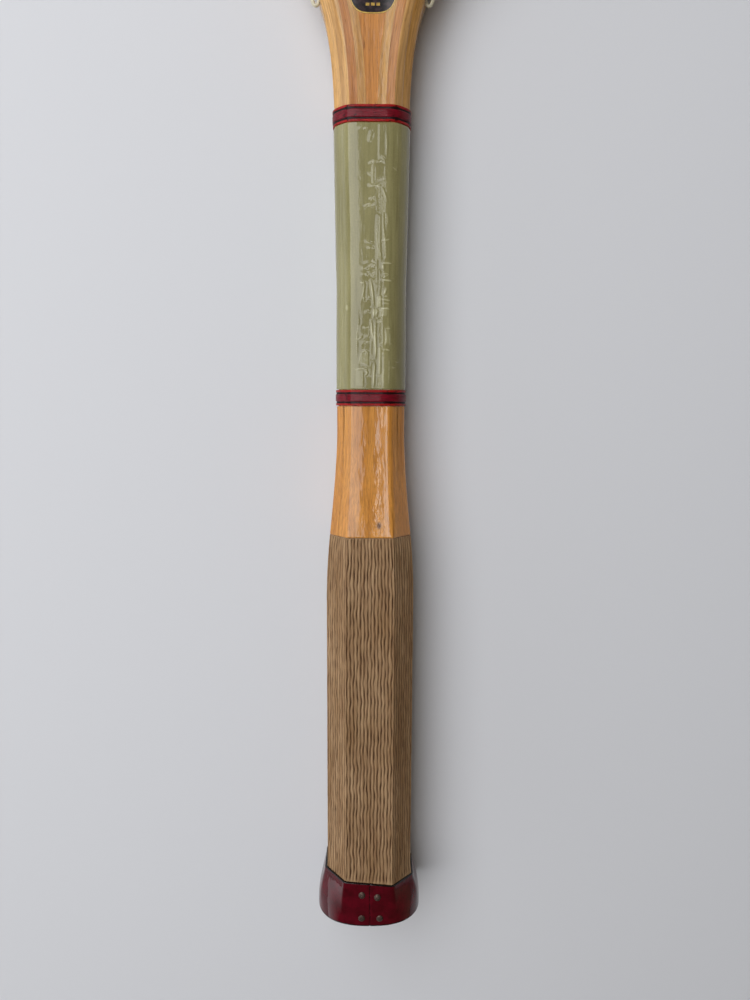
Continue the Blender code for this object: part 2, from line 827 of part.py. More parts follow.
def slip_section(y):
    """Section of the right side slip, which lies on the edge of the shaft."""
    octagon = handle_octagon(y)
    seat = outline_at(y)[0].x + JOINT_GAP
    height = min(SHAFT_HALF_DEPTH, bevel_z(octagon, seat))
    corner = max(seat + FEATHER / 4, bevel_x(octagon, height))
    corner_height = min(height, bevel_z(octagon, corner))
    upper = [Vector((seat, height)), Vector((corner, corner_height)), Vector((octagon[0], octagon[3]))]
    return upper + [Vector((p.x, -p.y)) for p in reversed(upper)]


def comb_stations():
    return [BUTT_BAND_TOP - COMB_HIDDEN_LENGTH, SHOULDER_START, COMB_TOP]


def add_comb_cutters(mesh_data, first, second, count):
    """V cutters spread evenly over the octagon face between two of its corners."""
    for k in range(count):
        share = (k + 0.5) / count
        rings = []
        for y in comb_stations():
            corners = octagon_corners(handle_octagon(y))
            start, end = corners[first], corners[second]
            place = start.lerp(end, share)
            along = (end - start).normalized()
            normal = Vector((-along.y, along.x))
            if normal.dot(place) < 0:
                normal = -normal
            half = along * (GROOVE_HALF_WIDTH * (1 + GROOVE_CUT_LIFT / GROOVE_DEPTH))
            mouth = place + normal * GROOVE_CUT_LIFT
            rings.append(ring_at([place - normal * GROOVE_DEPTH, mouth + half, mouth - half], y))
        add_loft(mesh_data, rings)


def groove_counts():
    """Grooves across the face flat, a sloping face and a side flat."""
    half_width, half_depth, face_flat, side_flat = GRIP_OCTAGON
    slope = math.hypot(half_width - face_flat, half_depth - side_flat)
    return tuple(int(width / GROOVE_PITCH) for width in (2 * face_flat, slope, 2 * side_flat))


def turned(item, angle):
    item.matrix_world = Matrix.Rotation(angle, 4, "Y")
    return item


def build_handle(finish):
    face_count, slope_count, side_count = groove_counts()
    for name, section, faces, angles in (
        ("handle_cheek", cheek_section, ((7, 0, face_count), (0, 1, slope_count), (7, 6, slope_count)),
         (("front", 0.0), ("back", math.pi))),
        ("handle_slip", slip_section, ((0, 1, slope_count), (1, 2, side_count), (3, 2, slope_count)),
         (("right", 0.0), ("left", math.pi))),
    ):
        for side, angle in angles:
            mesh_data = bmesh.new()
            add_loft(mesh_data, [ring_at(section(y), y) for y in handle_stations()])
            piece = turned(new_object(name + "_" + side, mesh_data, finish), angle)
            cutters = bmesh.new()
            for first, second, count in faces:
                add_comb_cutters(cutters, first, second, count)
            comb = turned(new_object(name + "_" + side + "_comb_cutter", cutters), angle)
            cut(piece, comb)


# Wrapped pieces

def wrap_ring(profile, corner):
    """Closed band round the shaft. The profile lists heights and distances off the wood.

    The face against the wood keeps nearly sharp corners, so that it clears the wood's own.
    """
    rings = []
    for y, lift in profile:
        size = corner if lift > JOINT_GAP else min(corner, JOINT_GAP)
        rings.append(ring_at(octagon_corners(grow(shaft_octagon(y), lift), size), y))
    mesh_data = bmesh.new()
    add_loft(mesh_data, rings, closed=True)
    return mesh_data


def build_sleeve(finish):
    low = SLEEVE_CLEARANCE
    high = SLEEVE_CLEARANCE + SLEEVE_WALL
    inner = [SHAFT_PARALLEL_END, THROAT_START, (THROAT_START + SLEEVE_END) / 2]
    inner = [y for y in inner if SLEEVE_START + LEAST_HEIGHT_STEP < y < SLEEVE_END - LEAST_HEIGHT_STEP]
    heights = [SLEEVE_START] + inner + [SLEEVE_END]
    profile = [(y, low) for y in heights] + [(y, high) for y in reversed(heights)]
    new_object("shaft_sleeve", wrap_ring(profile, 0.0), finish)


def build_binding(name, start, band_finish, ring_finish):
    """A wide band with a crowned outer face, between two narrow rings."""
    end = start + BINDING_LENGTH
    band_start = start + BINDING_RING_WIDTH + JOINT_GAP
    band_end = end - BINDING_RING_WIDTH - JOINT_GAP
    for label, low, high, finish in (
        ("_lower_ring", start, start + BINDING_RING_WIDTH, ring_finish),
        ("_band", band_start, band_end, band_finish),
        ("_upper_ring", end - BINDING_RING_WIDTH, end, ring_finish),
    ):
        edge = JOINT_GAP + BINDING_EDGE_WALL
        crown = [((low + high) / 2, JOINT_GAP + BINDING_WALL)] if label == "_band" else []
        profile = [(low, JOINT_GAP), (high, JOINT_GAP), (high, edge)] + crown + [(low, edge)]
        new_object(name + label, wrap_ring(profile, BINDING_CORNER), finish)


def leather_stations():
    """Height and wall of the butt band from the butt to its skived upper edge."""
    skive = BUTT_BAND_TOP - LEATHER_SKIVE_LENGTH
    middle = [(mix(FLARE_END, skive, i / FLARE_STEPS), LEATHER_WALL) for i in range(FLARE_STEPS + 1)]
    return [(0.0, LEATHER_BUTT_WALL)] + middle + [(BUTT_BAND_TOP, LEATHER_EDGE_WALL)]


def build_leather(finish):
    """Strip of leather round the butt, its two ends meeting in a seam on the front face."""
    right_end = SEAM_X + SEAM_GAP / 2
    left_end = SEAM_X - SEAM_GAP / 2
    rings = []
    for y, wall in leather_stations():
        ring = []
        for distance, corner, forward in ((0.0, JOINT_GAP, True), (wall, LEATHER_CORNER, False)):
            octagon = grow(handle_octagon(y), JOINT_GAP + distance)
            points = octagon_corners(octagon, corner)
            points = [Vector((right_end, octagon[1]))] + points + [Vector((left_end, octagon[1]))]
            ring += ring_at(points if forward else points[::-1], y)
        rings.append(ring)
    mesh_data = bmesh.new()
    add_loft(mesh_data, rings)
    return new_object("butt_band", mesh_data, finish)


def tack_frame(x, y):
    """Placement of a tack: on the leather's face, square to it."""
    low, high = handle_octagon(y - TACK_HEAD_RADIUS)[1], handle_octagon(y + TACK_HEAD_RADIUS)[1]
    tilt = math.atan2(high - low, 2 * TACK_HEAD_RADIUS)
    surface = handle_octagon(y)[1] + JOINT_GAP + LEATHER_WALL
    return Matrix.Translation((x, y, surface)) @ Matrix.Rotation(tilt, 4, "X")


def turned_profile(profile, sides):
    """Revolve a profile of radius and height about Z, closed at both poles."""
    mesh_data = bmesh.new()
    rings = []
    for radius, height in profile[1:-1]:
        ring = []
        for k in range(sides):
            angle = 2 * math.pi * k / sides
            ring.append(mesh_data.verts.new((radius * math.cos(angle), radius * math.sin(angle), height)))
        rings.append(ring)
    for low, high in zip(rings, rings[1:]):
        for k in range(sides):
            j = (k + 1) % sides
            mesh_data.faces.new((low[k], low[j], high[j], high[k]))
    for ring, (_, height) in ((rings[0], profile[0]), (rings[-1], profile[-1])):
        pole = mesh_data.verts.new((0.0, 0.0, height))
        for k in range(sides):
            mesh_data.faces.new((ring[k], ring[(k + 1) % sides], pole))
    return mesh_data


def build_tacks(finish, cheek, leather):
    """Domed tacks through the leather into the front cheek, two on each side of the seam."""
    rise = JOINT_GAP / 2
    top = rise + TACK_HEAD_HEIGHT
    profile = [
        (0.0, top),
        (TACK_CROWN_RADIUS, top - TACK_CROWN_DROP),
        (TACK_HEAD_RADIUS, rise + TACK_RIM_HEIGHT),
        (TACK_HEAD_RADIUS, rise),
        (TACK_SHANK_RADIUS, rise),
        (TACK_SHANK_RADIUS, TACK_POINT_LENGTH - TACK_SHANK_LENGTH),
        (0.0, -TACK_SHANK_LENGTH),
    ]
    bore = TACK_SHANK_RADIUS + JOINT_GAP
    depth = -TACK_SHANK_LENGTH - JOINT_GAP
    hole = [(0.0, top), (bore, top), (bore, depth), (0.0, depth)]
    places = (
        (TACK_LEFT_X, TACK_UPPER_LEFT_Y),
        (TACK_UPPER_RIGHT_X, TACK_UPPER_RIGHT_Y),
        (TACK_LEFT_X, TACK_LOWER_Y),
        (TACK_LOWER_RIGHT_X, TACK_LOWER_Y),
    )
    for index, (x, y) in enumerate(places, start=1):
        tack = new_object("butt_tack_" + str(index), turned_profile(profile, TACK_SIDES), finish)
        tack.matrix_world = tack_frame(x, y)
        cutter = new_object("butt_tack_cutter_" + str(index), turned_profile(hole, TACK_SIDES))
        cutter.matrix_world = tack_frame(x, y)
        cut(cheek, cutter)
        cut(leather, cutter)


def main():
    clear_scene()
    ply_names = ("outer_ply", "second_ply", "third_ply", "inner_ply")
    ply_colours = ((0.62, 0.40, 0.17), (0.60, 0.41, 0.22), (0.46, 0.20, 0.08), (0.60, 0.38, 0.18))
    plies = []
    for index, (name, colour) in enumerate(zip(ply_names, ply_colours)):
        plies.append(build_ply(index, name, material(name + "_wood", colour, 0.30)))
    wedge = build_wedge("throat_wedge", material("wedge_wood", (0.50, 0.25, 0.08), 0.30))

    mains, crosses = build_strings(material("string_nylon", (0.80, 0.76, 0.62), 0.25))
    outer_holes = build_hole_cutter("outer_hole_cutter", mains, crosses, OUTER_HOLE_RADIUS, OUTER_HOLE_SIDES)
    inner_holes = build_hole_cutter("inner_hole_cutter", mains, crosses, INNER_HOLE_RADIUS, STRING_SIDES)
    cut(plies[0], outer_holes)
    for piece in plies[1:] + [wedge]:
        cut(piece, inner_holes)
    cut(plies[0], build_groove_cutter())

    build_handle(material("handle_wood", (0.27, 0.16, 0.08), 0.60))
    build_sleeve(material("sleeve_lacquer", (0.30, 0.28, 0.14), 0.30))
    band_finish = material("binding_maroon", (0.17, 0.012, 0.025), 0.30)
    ring_finish = material("binding_red", (0.35, 0.02, 0.015), 0.30)
    build_binding("lower_binding", LOWER_BINDING_START, band_finish, ring_finish)
    build_binding("upper_binding", UPPER_BINDING_START, band_finish, ring_finish)
    leather = build_leather(material("butt_leather", (0.16, 0.008, 0.012), 0.28))
    cheek = bpy.data.objects["handle_cheek_front"]
    build_tacks(material("tack_steel", (0.10, 0.07, 0.06), 0.50, 0.8), cheek, leather)


main()
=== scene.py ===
# %% [markdown]
# # Dressing a wooden lawn racket
#
# The racket lies face up. Y runs from the butt to the head, X across the face and Z up.
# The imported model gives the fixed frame: where every piece sits and how large it is. This script
# makes finer pieces in the same places and gives each its finish. Sizes are written in
# millimetres, as a maker would, and become metres only when a mesh is made.

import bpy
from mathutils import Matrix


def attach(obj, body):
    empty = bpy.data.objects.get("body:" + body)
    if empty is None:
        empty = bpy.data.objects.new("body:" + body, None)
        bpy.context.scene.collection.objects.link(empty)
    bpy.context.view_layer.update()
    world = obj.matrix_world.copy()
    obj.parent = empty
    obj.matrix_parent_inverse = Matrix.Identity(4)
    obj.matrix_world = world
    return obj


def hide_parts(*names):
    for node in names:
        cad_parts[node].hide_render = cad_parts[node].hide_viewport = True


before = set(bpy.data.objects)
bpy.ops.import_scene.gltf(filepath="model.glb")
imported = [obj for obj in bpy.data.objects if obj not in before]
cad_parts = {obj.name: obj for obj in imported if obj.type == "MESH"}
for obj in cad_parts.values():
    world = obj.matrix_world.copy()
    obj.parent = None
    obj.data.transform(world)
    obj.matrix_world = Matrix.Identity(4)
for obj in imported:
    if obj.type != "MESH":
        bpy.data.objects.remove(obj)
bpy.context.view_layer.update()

# %% Tools used all through
import bmesh
import bpy
import math
import numpy as np
from mathutils import Matrix, Vector
from mathutils.kdtree import KDTree

MM = 0.001
FLIP = np.array([-1.0, 1.0])


def mix(first, second, share):
    return first + (second - first) * share


def ease(value, start, end):
    """Smooth step from 0 at start to 1 at end."""
    u = np.clip((np.asarray(value, float) - start) / (end - start), 0.0, 1.0)
    return u * u * (3.0 - 2.0 * u)


def unit(vectors):
    return vectors / np.linalg.norm(vectors, axis=-1, keepdims=True)


def running_mean(points, half):
    """Average each point of a line with as many neighbours on either side."""
    total = np.cumsum(np.concatenate([np.zeros((1, 2)), points]), axis=0)
    return (total[2 * half + 1:] - total[:-2 * half - 1]) / (2 * half + 1)


def closed_smooth(line, half):
    return running_mean(np.concatenate([line[-half:], line, line[:half]]), half)


def in_space(line, y):
    """Ring in space from a section line and its height or heights."""
    return np.column_stack([line[:, 0], np.zeros(len(line)) + y, line[:, 1]])


# %% [markdown]
# ## Shader nodes and colours
#
# A finish is a tree of nodes. One function adds a node, fills its sockets and links them, so
# that every finish below reads as a list of what happens. Colours are written as they look on a
# screen, and one function turns them into the linear numbers that Blender works with.

# %% Node and colour helpers
def plug(tree, socket, value):
    """Give a socket its value, or link it to another socket."""
    if isinstance(value, bpy.types.NodeSocket):
        tree.links.new(value, socket)
    else:
        socket.default_value = value


def add(tree, kind, inputs=None, **settings):
    """Add a node. Inputs are numbers, or sockets to link from."""
    node = tree.nodes.new(kind)
    for key, value in settings.items():
        setattr(node, key, value)
    for key, value in (inputs or {}).items():
        plug(tree, node.inputs[key], value)
    return node


def linear(code):
    """Linear colour for an sRGB hex value."""
    parts = [int(code[i:i + 2], 16) / 255 for i in (1, 3, 5)]
    return [p / 12.92 if p <= 0.04045 else ((p + 0.055) / 1.055) ** 2.4 for p in parts] + [1.0]


def new_finish(name):
    """Start a finish. The second result sets or links the shader's sockets and gives the finish."""
    made = bpy.data.materials.new(name)
    made.use_nodes = True
    tree = made.node_tree
    tree.nodes.clear()
    shader = add(tree, "ShaderNodeBsdfPrincipled")
    add(tree, "ShaderNodeOutputMaterial", {"Surface": shader.outputs["BSDF"]})

    def dress(**sockets):
        for key, value in sockets.items():
            plug(tree, shader.inputs[key.replace("_", " ")], value)
        return made

    return tree, dress


def coated(name, sheen, coat, gloss):
    """Start a finish that lies under a clear coat."""
    tree, dress = new_finish(name)
    dress(Roughness=0.5, Specular_IOR_Level=sheen)
    dress(Coat_Weight=coat, Coat_Roughness=gloss, Coat_IOR=1.5)
    return tree, dress


def own_place(tree):
    return add(tree, "ShaderNodeTexCoord").outputs["Object"]


def stored(tree, name, output="Vector"):
    return add(tree, "ShaderNodeAttribute", attribute_name=name).outputs[output]


def reckon(tree, operation, first, second=0.0, **settings):
    inputs = {0: first, 1: second}
    return add(tree, "ShaderNodeMath", inputs, operation=operation, **settings).outputs[0]


def ramp(tree, value, low, high, first=0.0, last=1.0):
    """Turn the range from low to high into the one from first to last."""
    inputs = {"Value": value, "From Min": low, "From Max": high, "To Min": first, "To Max": last}
    return add(tree, "ShaderNodeMapRange", inputs).outputs[0]


def bump(tree, height, distance, strength=1.0, **under):
    """Let light see a pattern as height, in millimetres."""
    inputs = {"Height": height, "Distance": distance * MM, "Strength": strength, **under}
    return add(tree, "ShaderNodeBump", inputs).outputs[0]


def speckle(tree, vector, size, detail):
    """Even noise of a size in millimetres."""
    inputs = {"Vector": vector, "Scale": 1 / (size * MM), "Detail": detail}
    return add(tree, "ShaderNodeTexNoise", inputs).outputs["Fac"]


def patterns(tree, vector, *sizes, roughness=0.55, shift=0.0):
    """Stretched noise, one for each size across and along, in millimetres, and detail."""
    made = []
    for across, along, detail in sizes:
        scale = [1.0 / (MM * part) for part in (across, along, across)]
        moved = {"Vector": vector, "Scale": scale, "Location": (shift, shift * 3, shift * 7)}
        place = add(tree, "ShaderNodeMapping", moved).outputs[0]
        values = {"Vector": place, "Scale": 1.0, "Detail": detail, "Roughness": roughness}
        made.append(add(tree, "ShaderNodeTexNoise", values).outputs["Fac"])
    return made


def tinted(tree, colour, tint, pattern, low, high, strength=1.0):
    """Lay a tint over a colour, more strongly the nearer a pattern comes to its second limit."""
    first, second = (linear(c) if isinstance(c, str) else c for c in (colour, tint))
    inputs = {"Factor": ramp(tree, pattern, low, high, 0.0, strength), 6: first, 7: second}
    return add(tree, "ShaderNodeMix", inputs, data_type="RGBA").outputs[2]


def shaded(tree, colour, pattern, low, high, first, last):
    """Lighten or darken a colour by a pattern, as fibres and pores do."""
    inputs = {0: colour, "Scale": ramp(tree, pattern, low, high, first, last)}
    return add(tree, "ShaderNodeVectorMath", inputs, operation="SCALE").outputs[0]


# %% [markdown]
# ## Meshes from rings
#
# Most pieces of a racket are long and change their section slowly, so they are lofts: rings of
# points, one for each station along the piece, skinned with four-sided faces. Numpy arrays hold
# the rings, which keeps a mesh of many thousand faces quick to make.

# %% Mesh helpers
def put(name, data):
    """Put an object with its data into the scene."""
    item = bpy.data.objects.new(name, data)
    bpy.context.scene.collection.objects.link(item)
    return item


def plain_mesh(name, points, edges=(), faces=()):
    """An object from points in millimetres."""
    mesh = bpy.data.meshes.new(name)
    mesh.from_pydata((np.asarray(points, float) * MM).tolist(), list(edges), list(faces))
    return put(name, mesh)


def line_mesh(name, points):
    return plain_mesh(name, points, [(i, i + 1) for i in range(len(points) - 1)])


def face_outwards(mesh, merge=0.0):
    """Turn the faces outwards, after points closer than a distance are merged."""
    build = bmesh.new()
    build.from_mesh(mesh)
    if merge:
        bmesh.ops.remove_doubles(build, verts=build.verts, dist=merge)
    bmesh.ops.recalc_face_normals(build, faces=build.faces)
    build.to_mesh(mesh)
    build.free()


def shade(item, angle):
    """Smooth shading with an edge kept sharp where it turns by more than an angle."""
    item.data.shade_smooth()
    item.data.set_sharp_from_angle(angle=math.radians(angle))


def mesh_piece(name, points, faces, finishes, angle=40.0):
    """A smooth object with its finishes."""
    item = plain_mesh(name, points, faces=faces)
    face_outwards(item.data)
    for finish in finishes:
        item.data.materials.append(finish)
    shade(item, angle)
    return item


def loft(name, rings, finishes, closed=False, angle=40.0):
    """Skin an array of rings. An open loft is capped at both ends."""
    rings = np.asarray(rings)
    count, around = rings.shape[:2]
    rows = np.arange(count if closed else count - 1)[:, None] * around
    first = rows + np.arange(around)[None, :]
    second = rows + (np.arange(around)[None, :] + 1) % around
    total = count * around
    quads = np.stack([first, second, (second + around) % total, (first + around) % total], -1)
    faces = quads.reshape(-1, 4).tolist()
    if not closed:
        faces += [list(range(around)), list(range(total - around, total))]
    return mesh_piece(name, rings.reshape(-1, 3), faces, finishes, angle)


def set_attribute(item, name, values):
    """Store a number or a vector for each point of a mesh."""
    values = np.asarray(values, np.float32)
    kind, field = ("FLOAT_VECTOR", "vector") if values.ndim == 2 else ("FLOAT", "value")
    layer = item.data.attributes.new(name, kind, "POINT")
    layer.data.foreach_set(field, values.ravel())


def read(items, field):
    """Read a vector of each point or face into an array."""
    flat = np.zeros(len(items) * 3)
    items.foreach_get(field, flat)
    return flat.reshape(-1, 3)


def points_of(item):
    """Points of a mesh in millimetres."""
    return read(item.data.vertices, "co") / MM


def finish_piece(item, slot, *nodes):
    """A finished piece rides on the racket's one body and takes the place of its CAD nodes."""
    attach(item, "root")
    if nodes:
        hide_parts(*nodes)
    item.data.calc_loop_triangles()
    print(item.name, len(item.data.loop_triangles), "triangles")


# %% [markdown]
# ## Camera, floor and light
#
# The camera stands where it stood for the photograph: close above the sleeve, looking down and a
# little towards the butt, which makes the near handle look wide and the head run out of the
# picture. The floor is plain and pale and touches the butt leather and the back of the hoop.
# A broad panel on the left gives the soft light. Its edge lies almost overhead, and two narrow
# panels stand beside it, because varnish shows them as the long pale streaks on the racket. The
# room is bright low on the left, and darker and warmer on the right.

# %% Camera
bpy.context.scene.view_settings.view_transform = "Standard"
LENS_PIXELS, PICTURE_HEIGHT, SENSOR = 751.0, 1000.0, 36.0
CAMERA_PLACE = Vector((1.85, 217.94, 305.8)) * MM
CAMERA_TILT, CAMERA_ROLL = math.radians(-7.6), math.radians(0.27)

camera_data = bpy.data.cameras.new("camera")
camera_data.sensor_fit = "VERTICAL"
camera_data.sensor_height = SENSOR
camera_data.lens = SENSOR * LENS_PIXELS / PICTURE_HEIGHT
camera_data.clip_start = 0.01
camera = put("camera", camera_data)
turn = Matrix.Rotation(CAMERA_TILT, 4, "X") @ Matrix.Rotation(CAMERA_ROLL, 4, "Z")
camera.matrix_world = Matrix.Translation(CAMERA_PLACE) @ turn
bpy.context.scene.camera = camera
print("lens in millimetres:", round(camera_data.lens, 2))

# %% Floor
BUTT_REST = (2.0, -18.9)
HEAD_REST = (686.0, -9.6)
FLOOR_REACH = 2600.0


def floor_height(y):
    """The floor rises gently from the butt's rest to the head's."""
    return mix(BUTT_REST[1], HEAD_REST[1], (y - BUTT_REST[0]) / (HEAD_REST[0] - BUTT_REST[0]))


corners = [(x * FLOOR_REACH, y * FLOOR_REACH) for x, y in ((-1, -1), (1, -1), (1, 1), (-1, 1))]
floor = plain_mesh("floor", [(x, y, floor_height(y)) for x, y in corners], faces=[(0, 1, 2, 3)])
_, dress_floor = new_finish("painted board, matt")
board = dress_floor(Base_Color=linear("#D2D3D5"), Roughness=0.9, Specular_IOR_Level=0.1)
floor.data.materials.append(board)

# %% Light
PANEL_HEIGHT = 1200.0


def panel(name, x_range, y_range, radiance, colour="#FFFFFF", turned=0.0):
    """A soft panel overhead that faces down. Its brightness doesn't depend on its size."""
    data = bpy.data.lights.new(name, "AREA")
    data.shape = "RECTANGLE"
    data.size = (x_range[1] - x_range[0]) * MM
    data.size_y = (y_range[1] - y_range[0]) * MM
    data.energy = 4.0 * radiance * data.size * data.size_y
    data.color = linear(colour)[:3]
    item = put(name, data)
    item.location = Vector((sum(x_range) / 2, sum(y_range) / 2, PANEL_HEIGHT)) * MM
    item.rotation_euler.z = math.radians(turned)
    item.visible_camera = False
    print(name, "width in mm:", round(data.size / MM), "power:", round(data.energy, 2))


panel("left panel", (-1450.0, -41.4), (-320.0, 2400.0), 2.40, "#FAFBFF", 1.24)
panel("narrow panel", (5.4, 10.2), (-70.0, 640.0), 5.0)
panel("wider narrow panel", (19.0, 60.0), (-70.0, 1000.0), 3.4)

world = bpy.data.worlds.new("room")
bpy.context.scene.world = world
world.use_nodes = True
room = world.node_tree
room.nodes.clear()
way = add(room, "ShaderNodeTexCoord").outputs["Generated"]
way = add(room, "ShaderNodeSeparateXYZ", {"Vector": way}).outputs
side = ramp(room, way["X"], -0.5, 0.4, 1.75, 0.26)
low = ramp(room, way["Z"], 0.05, 0.5, 1.0, 0.0)
glow = add(room, "ShaderNodeMix", {"Factor": low, "A": 0.07, "B": side}).outputs["Result"]
tint = tinted(room, "#F2F5FA", "#FFE8C8", way["X"], -0.3, 0.4)
background = add(room, "ShaderNodeBackground", {"Color": tint, "Strength": glow})
add(room, "ShaderNodeOutputWorld", {"Surface": background.outputs[0]})

# %% [markdown]
# ## The line of the frame
#
# The outer edge of the frame is one line: up the side of the shaft, out through the throat in a
# sweeping curve and round an ellipse. Every strip, hole and string is set off from it. The same
# numbers stand in the CAD source, so the finer pieces fall exactly on its solids.

# %% Outline of the frame
HEAD_HALF_WIDTH, HEAD_HALF_LENGTH, HEAD_CENTRE = 114.0, 142.0, 544.0
HEAD_BOTTOM = HEAD_CENTRE - HEAD_HALF_LENGTH
TANGENT_ANGLE = math.radians(38)
SHAFT_PARALLEL_END, THROAT_START, THROAT_FULL = (HEAD_BOTTOM - part for part in (140, 107, 40))
SHAFT_HALF_WIDTH, THROAT_HALF_WIDTH, SHAFT_HALF_DEPTH = 12.8, 13.5, 10.2
THROAT_SLOPE, THROAT_LOWER_PULL, THROAT_UPPER_PULL = 0.02, 70.0, 80.0
THROAT_RUN, HOOP_RUN = 146, 318  # rough lengths of both curves, which set their point counts


def ellipse_at(angle):
    """Points and outward normals on the head ellipse. Angle 0 is at the throat."""
    right, down = np.sin(angle), np.cos(angle)
    point = np.stack([HEAD_HALF_WIDTH * right, HEAD_CENTRE - HEAD_HALF_LENGTH * down], -1)
    return point, unit(np.stack([right / HEAD_HALF_WIDTH, -down / HEAD_HALF_LENGTH], -1))


def throat_at(share):
    """Points and outward normals on the curve from the shaft to the head."""
    u = np.asarray(share, float)[..., None]
    v = 1.0 - u
    start = np.array([THROAT_HALF_WIDTH, THROAT_START])
    end, end_normal = ellipse_at(TANGENT_ANGLE)
    low = start + unit(np.array([THROAT_SLOPE, 1.0])) * THROAT_LOWER_PULL
    high = end - np.array([-end_normal[1], end_normal[0]]) * THROAT_UPPER_PULL
    point = v ** 3 * start + 3 * v * v * u * low + 3 * v * u * u * high + u ** 3 * end
    slope = v * v * (low - start) + 2 * v * u * (high - low) + u * u * (end - high)
    return point, unit(np.stack([slope[..., 1], -slope[..., 0]], -1))


def right_half(step):
    """Stations of the right half, from the butt to the head tip."""
    heights = np.linspace(0.0, THROAT_START, round(THROAT_START / step), endpoint=False)
    limits = SHAFT_PARALLEL_END, THROAT_START
    wide = np.interp(heights, limits, (SHAFT_HALF_WIDTH, THROAT_HALF_WIDTH))
    straight = np.stack([wide, heights], -1), np.tile([1.0, 0.0], (len(heights), 1))
    throat = throat_at(np.linspace(0.0, 1.0, round(THROAT_RUN / step), endpoint=False))
    hoop = ellipse_at(np.linspace(TANGENT_ANGLE, math.pi, round(HOOP_RUN / step) + 1))
    return tuple(np.concatenate(parts) for parts in zip(straight, throat, hoop))


def whole_frame(step):
    """Stations from the left butt round the tip to the right butt, with the length along them."""
    place, normal = (np.concatenate([h[:-1] * FLIP, h[::-1]]) for h in right_half(step))
    steps = np.linalg.norm(np.diff(place, axis=0), axis=1)
    length = np.concatenate([[0.0], np.cumsum(steps)])
    return place, normal, length - length[-1] / 2


FINE_PLACE, FINE_NORMAL, FINE_LENGTH = whole_frame(0.5)
SIDE_PLACE, SIDE_NORMAL = right_half(0.25)
TANGENT_Y = float(ellipse_at(TANGENT_ANGLE)[0][1])
BELOW = SIDE_PLACE[:, 1] <= TANGENT_Y + 1.0
BELOW_Y = SIDE_PLACE[BELOW, 1]


def outline_at(y):
    """Right-hand outline point and normal at a height below the head's tangent point."""
    normal = np.array([np.interp(y, BELOW_Y, SIDE_NORMAL[BELOW, k]) for k in (0, 1)])
    return np.array([np.interp(y, BELOW_Y, SIDE_PLACE[BELOW, 0]), y]), unit(normal)


print("length of the frame line, mm:", round(FINE_LENGTH[-1] * 2, 1))

# %% [markdown]
# ## Varnished wood
#
# The strips are ash and beech, bent, glued, shaved flush and varnished. Wood is made of long
# fibres, so every pattern is stretched many times along the grain: broad changes of tone, growth
# streaks a millimetre or two wide, and hair-thin fibres. The strips carry an attribute named
# grain, which holds the distance across the strip, along it and through it, so that the pattern
# bends with the hoop. Brushed varnish is a clear coat that is never quite flat. That is why a
# second, slower pattern tilts the coat and makes its reflections wander.

# %% Varnished wood finish
DRIP_RUN = 12.0


def knot(tree, colour, x, y, half_width, half_length, strength, tint):
    """A small dark mark at a place in the wood, fading towards its edge."""
    half = half_width, half_length
    moved = {
        "Vector": own_place(tree),
        "Scale": (*(1 / (part * MM) for part in half), 0.0),
        "Location": (-x / half_width, -y / half_length, 0.0),
    }
    sized = add(tree, "ShaderNodeMapping", moved).outputs[0]
    gap = add(tree, "ShaderNodeVectorMath", {0: sized}, operation="LENGTH").outputs["Value"]
    return tinted(tree, colour, tint, gap, 1.0, 0.4, strength)


def varnished_wood(name, tones, coat=0.6, gloss=0.08, ripple=0.05, shift=0.0, mark=(), drips=0):
    """Planed wood brushed with clear varnish: warm colour below, sharp pale reflections above.
    Its tones are the pale one, the deep one and that of its fibres."""
    tree, dress = coated(name, 0.12, coat, gloss)
    pale, deep, fibre = tones
    grain = stored(tree, "grain")
    # Real fibres and pores are about 0.1 mm wide. They are drawn coarser, so that they show.
    tone, streak, hair, pore, wave = patterns(
        tree, grain, (5.0, 130.0, 3.0), (1.1, 60.0, 3.0), (0.4, 9.0, 2.0), (0.32, 2.6, 1.0),
        (3.2, 11.0, 2.0), shift=shift)
    colour = tinted(tree, pale, deep, tone, 0.36, 0.64)
    colour = tinted(tree, colour, fibre, streak, 0.48, 0.70, 0.6)
    colour = tinted(tree, colour, pale, streak, 0.46, 0.30, 0.35)
    colour = shaded(tree, colour, hair, 0.40, 0.66, 1.09, 0.80)
    colour = shaded(tree, colour, pore, 0.60, 0.70, 1.0, 0.78)
    if mark:
        colour = knot(tree, colour, *mark)
    rolled = bump(tree, wave, ripple)
    if drips:
        height = add(tree, "ShaderNodeSeparateXYZ", {"Vector": grain}).outputs["Y"]
        low = ramp(tree, height, drips * MM, (drips - DRIP_RUN) * MM)
        drop = patterns(tree, grain, (1.3, 2.0, 2.0))[0]
        rolled = bump(tree, drop, 0.012, low, Normal=rolled)
    return dress(Base_Color=colour, Normal=bump(tree, hair, 0.02, 0.5), Coat_Normal=rolled)


outer_wood, second_wood, third_wood, inner_wood = (
    varnished_wood(name + ", varnished", tones.split(), coat, shift=shift)
    for name, tones, coat, shift in (
        ("honey ash", "#CFA062 #BA8844 #906028", 0.6, 1.0),
        ("pale ash", "#CBA068 #B98A50 #9A6C38", 0.6, 2.0),
        ("reddish beech", "#BC824C #A86C3A #8A582A", 0.4, 3.0),
        ("light ash", "#C6985C #B48246 #9A6E38", 0.6, 4.0),
    )
)
wedge_wood = varnished_wood(
    "orange beech, varnished", ("#C48648", "#B27434", "#98622A"),
    shift=5.0, mark=(-2.9, 347.2, 0.35, 2.2, 0.75, "#6A4420"),
)

# %% [markdown]
# ## The four strips of the hoop
#
# The frame is bent from four strips, each running from the butt up one side, round the head and
# down the other side. A loft along the frame line follows the bend. The section is drawn for
# each station: a broad chamfer on the shaft that shrinks to a small rounding on the hoop, and in
# the outer strip the groove that lets the strings lie below the surface.

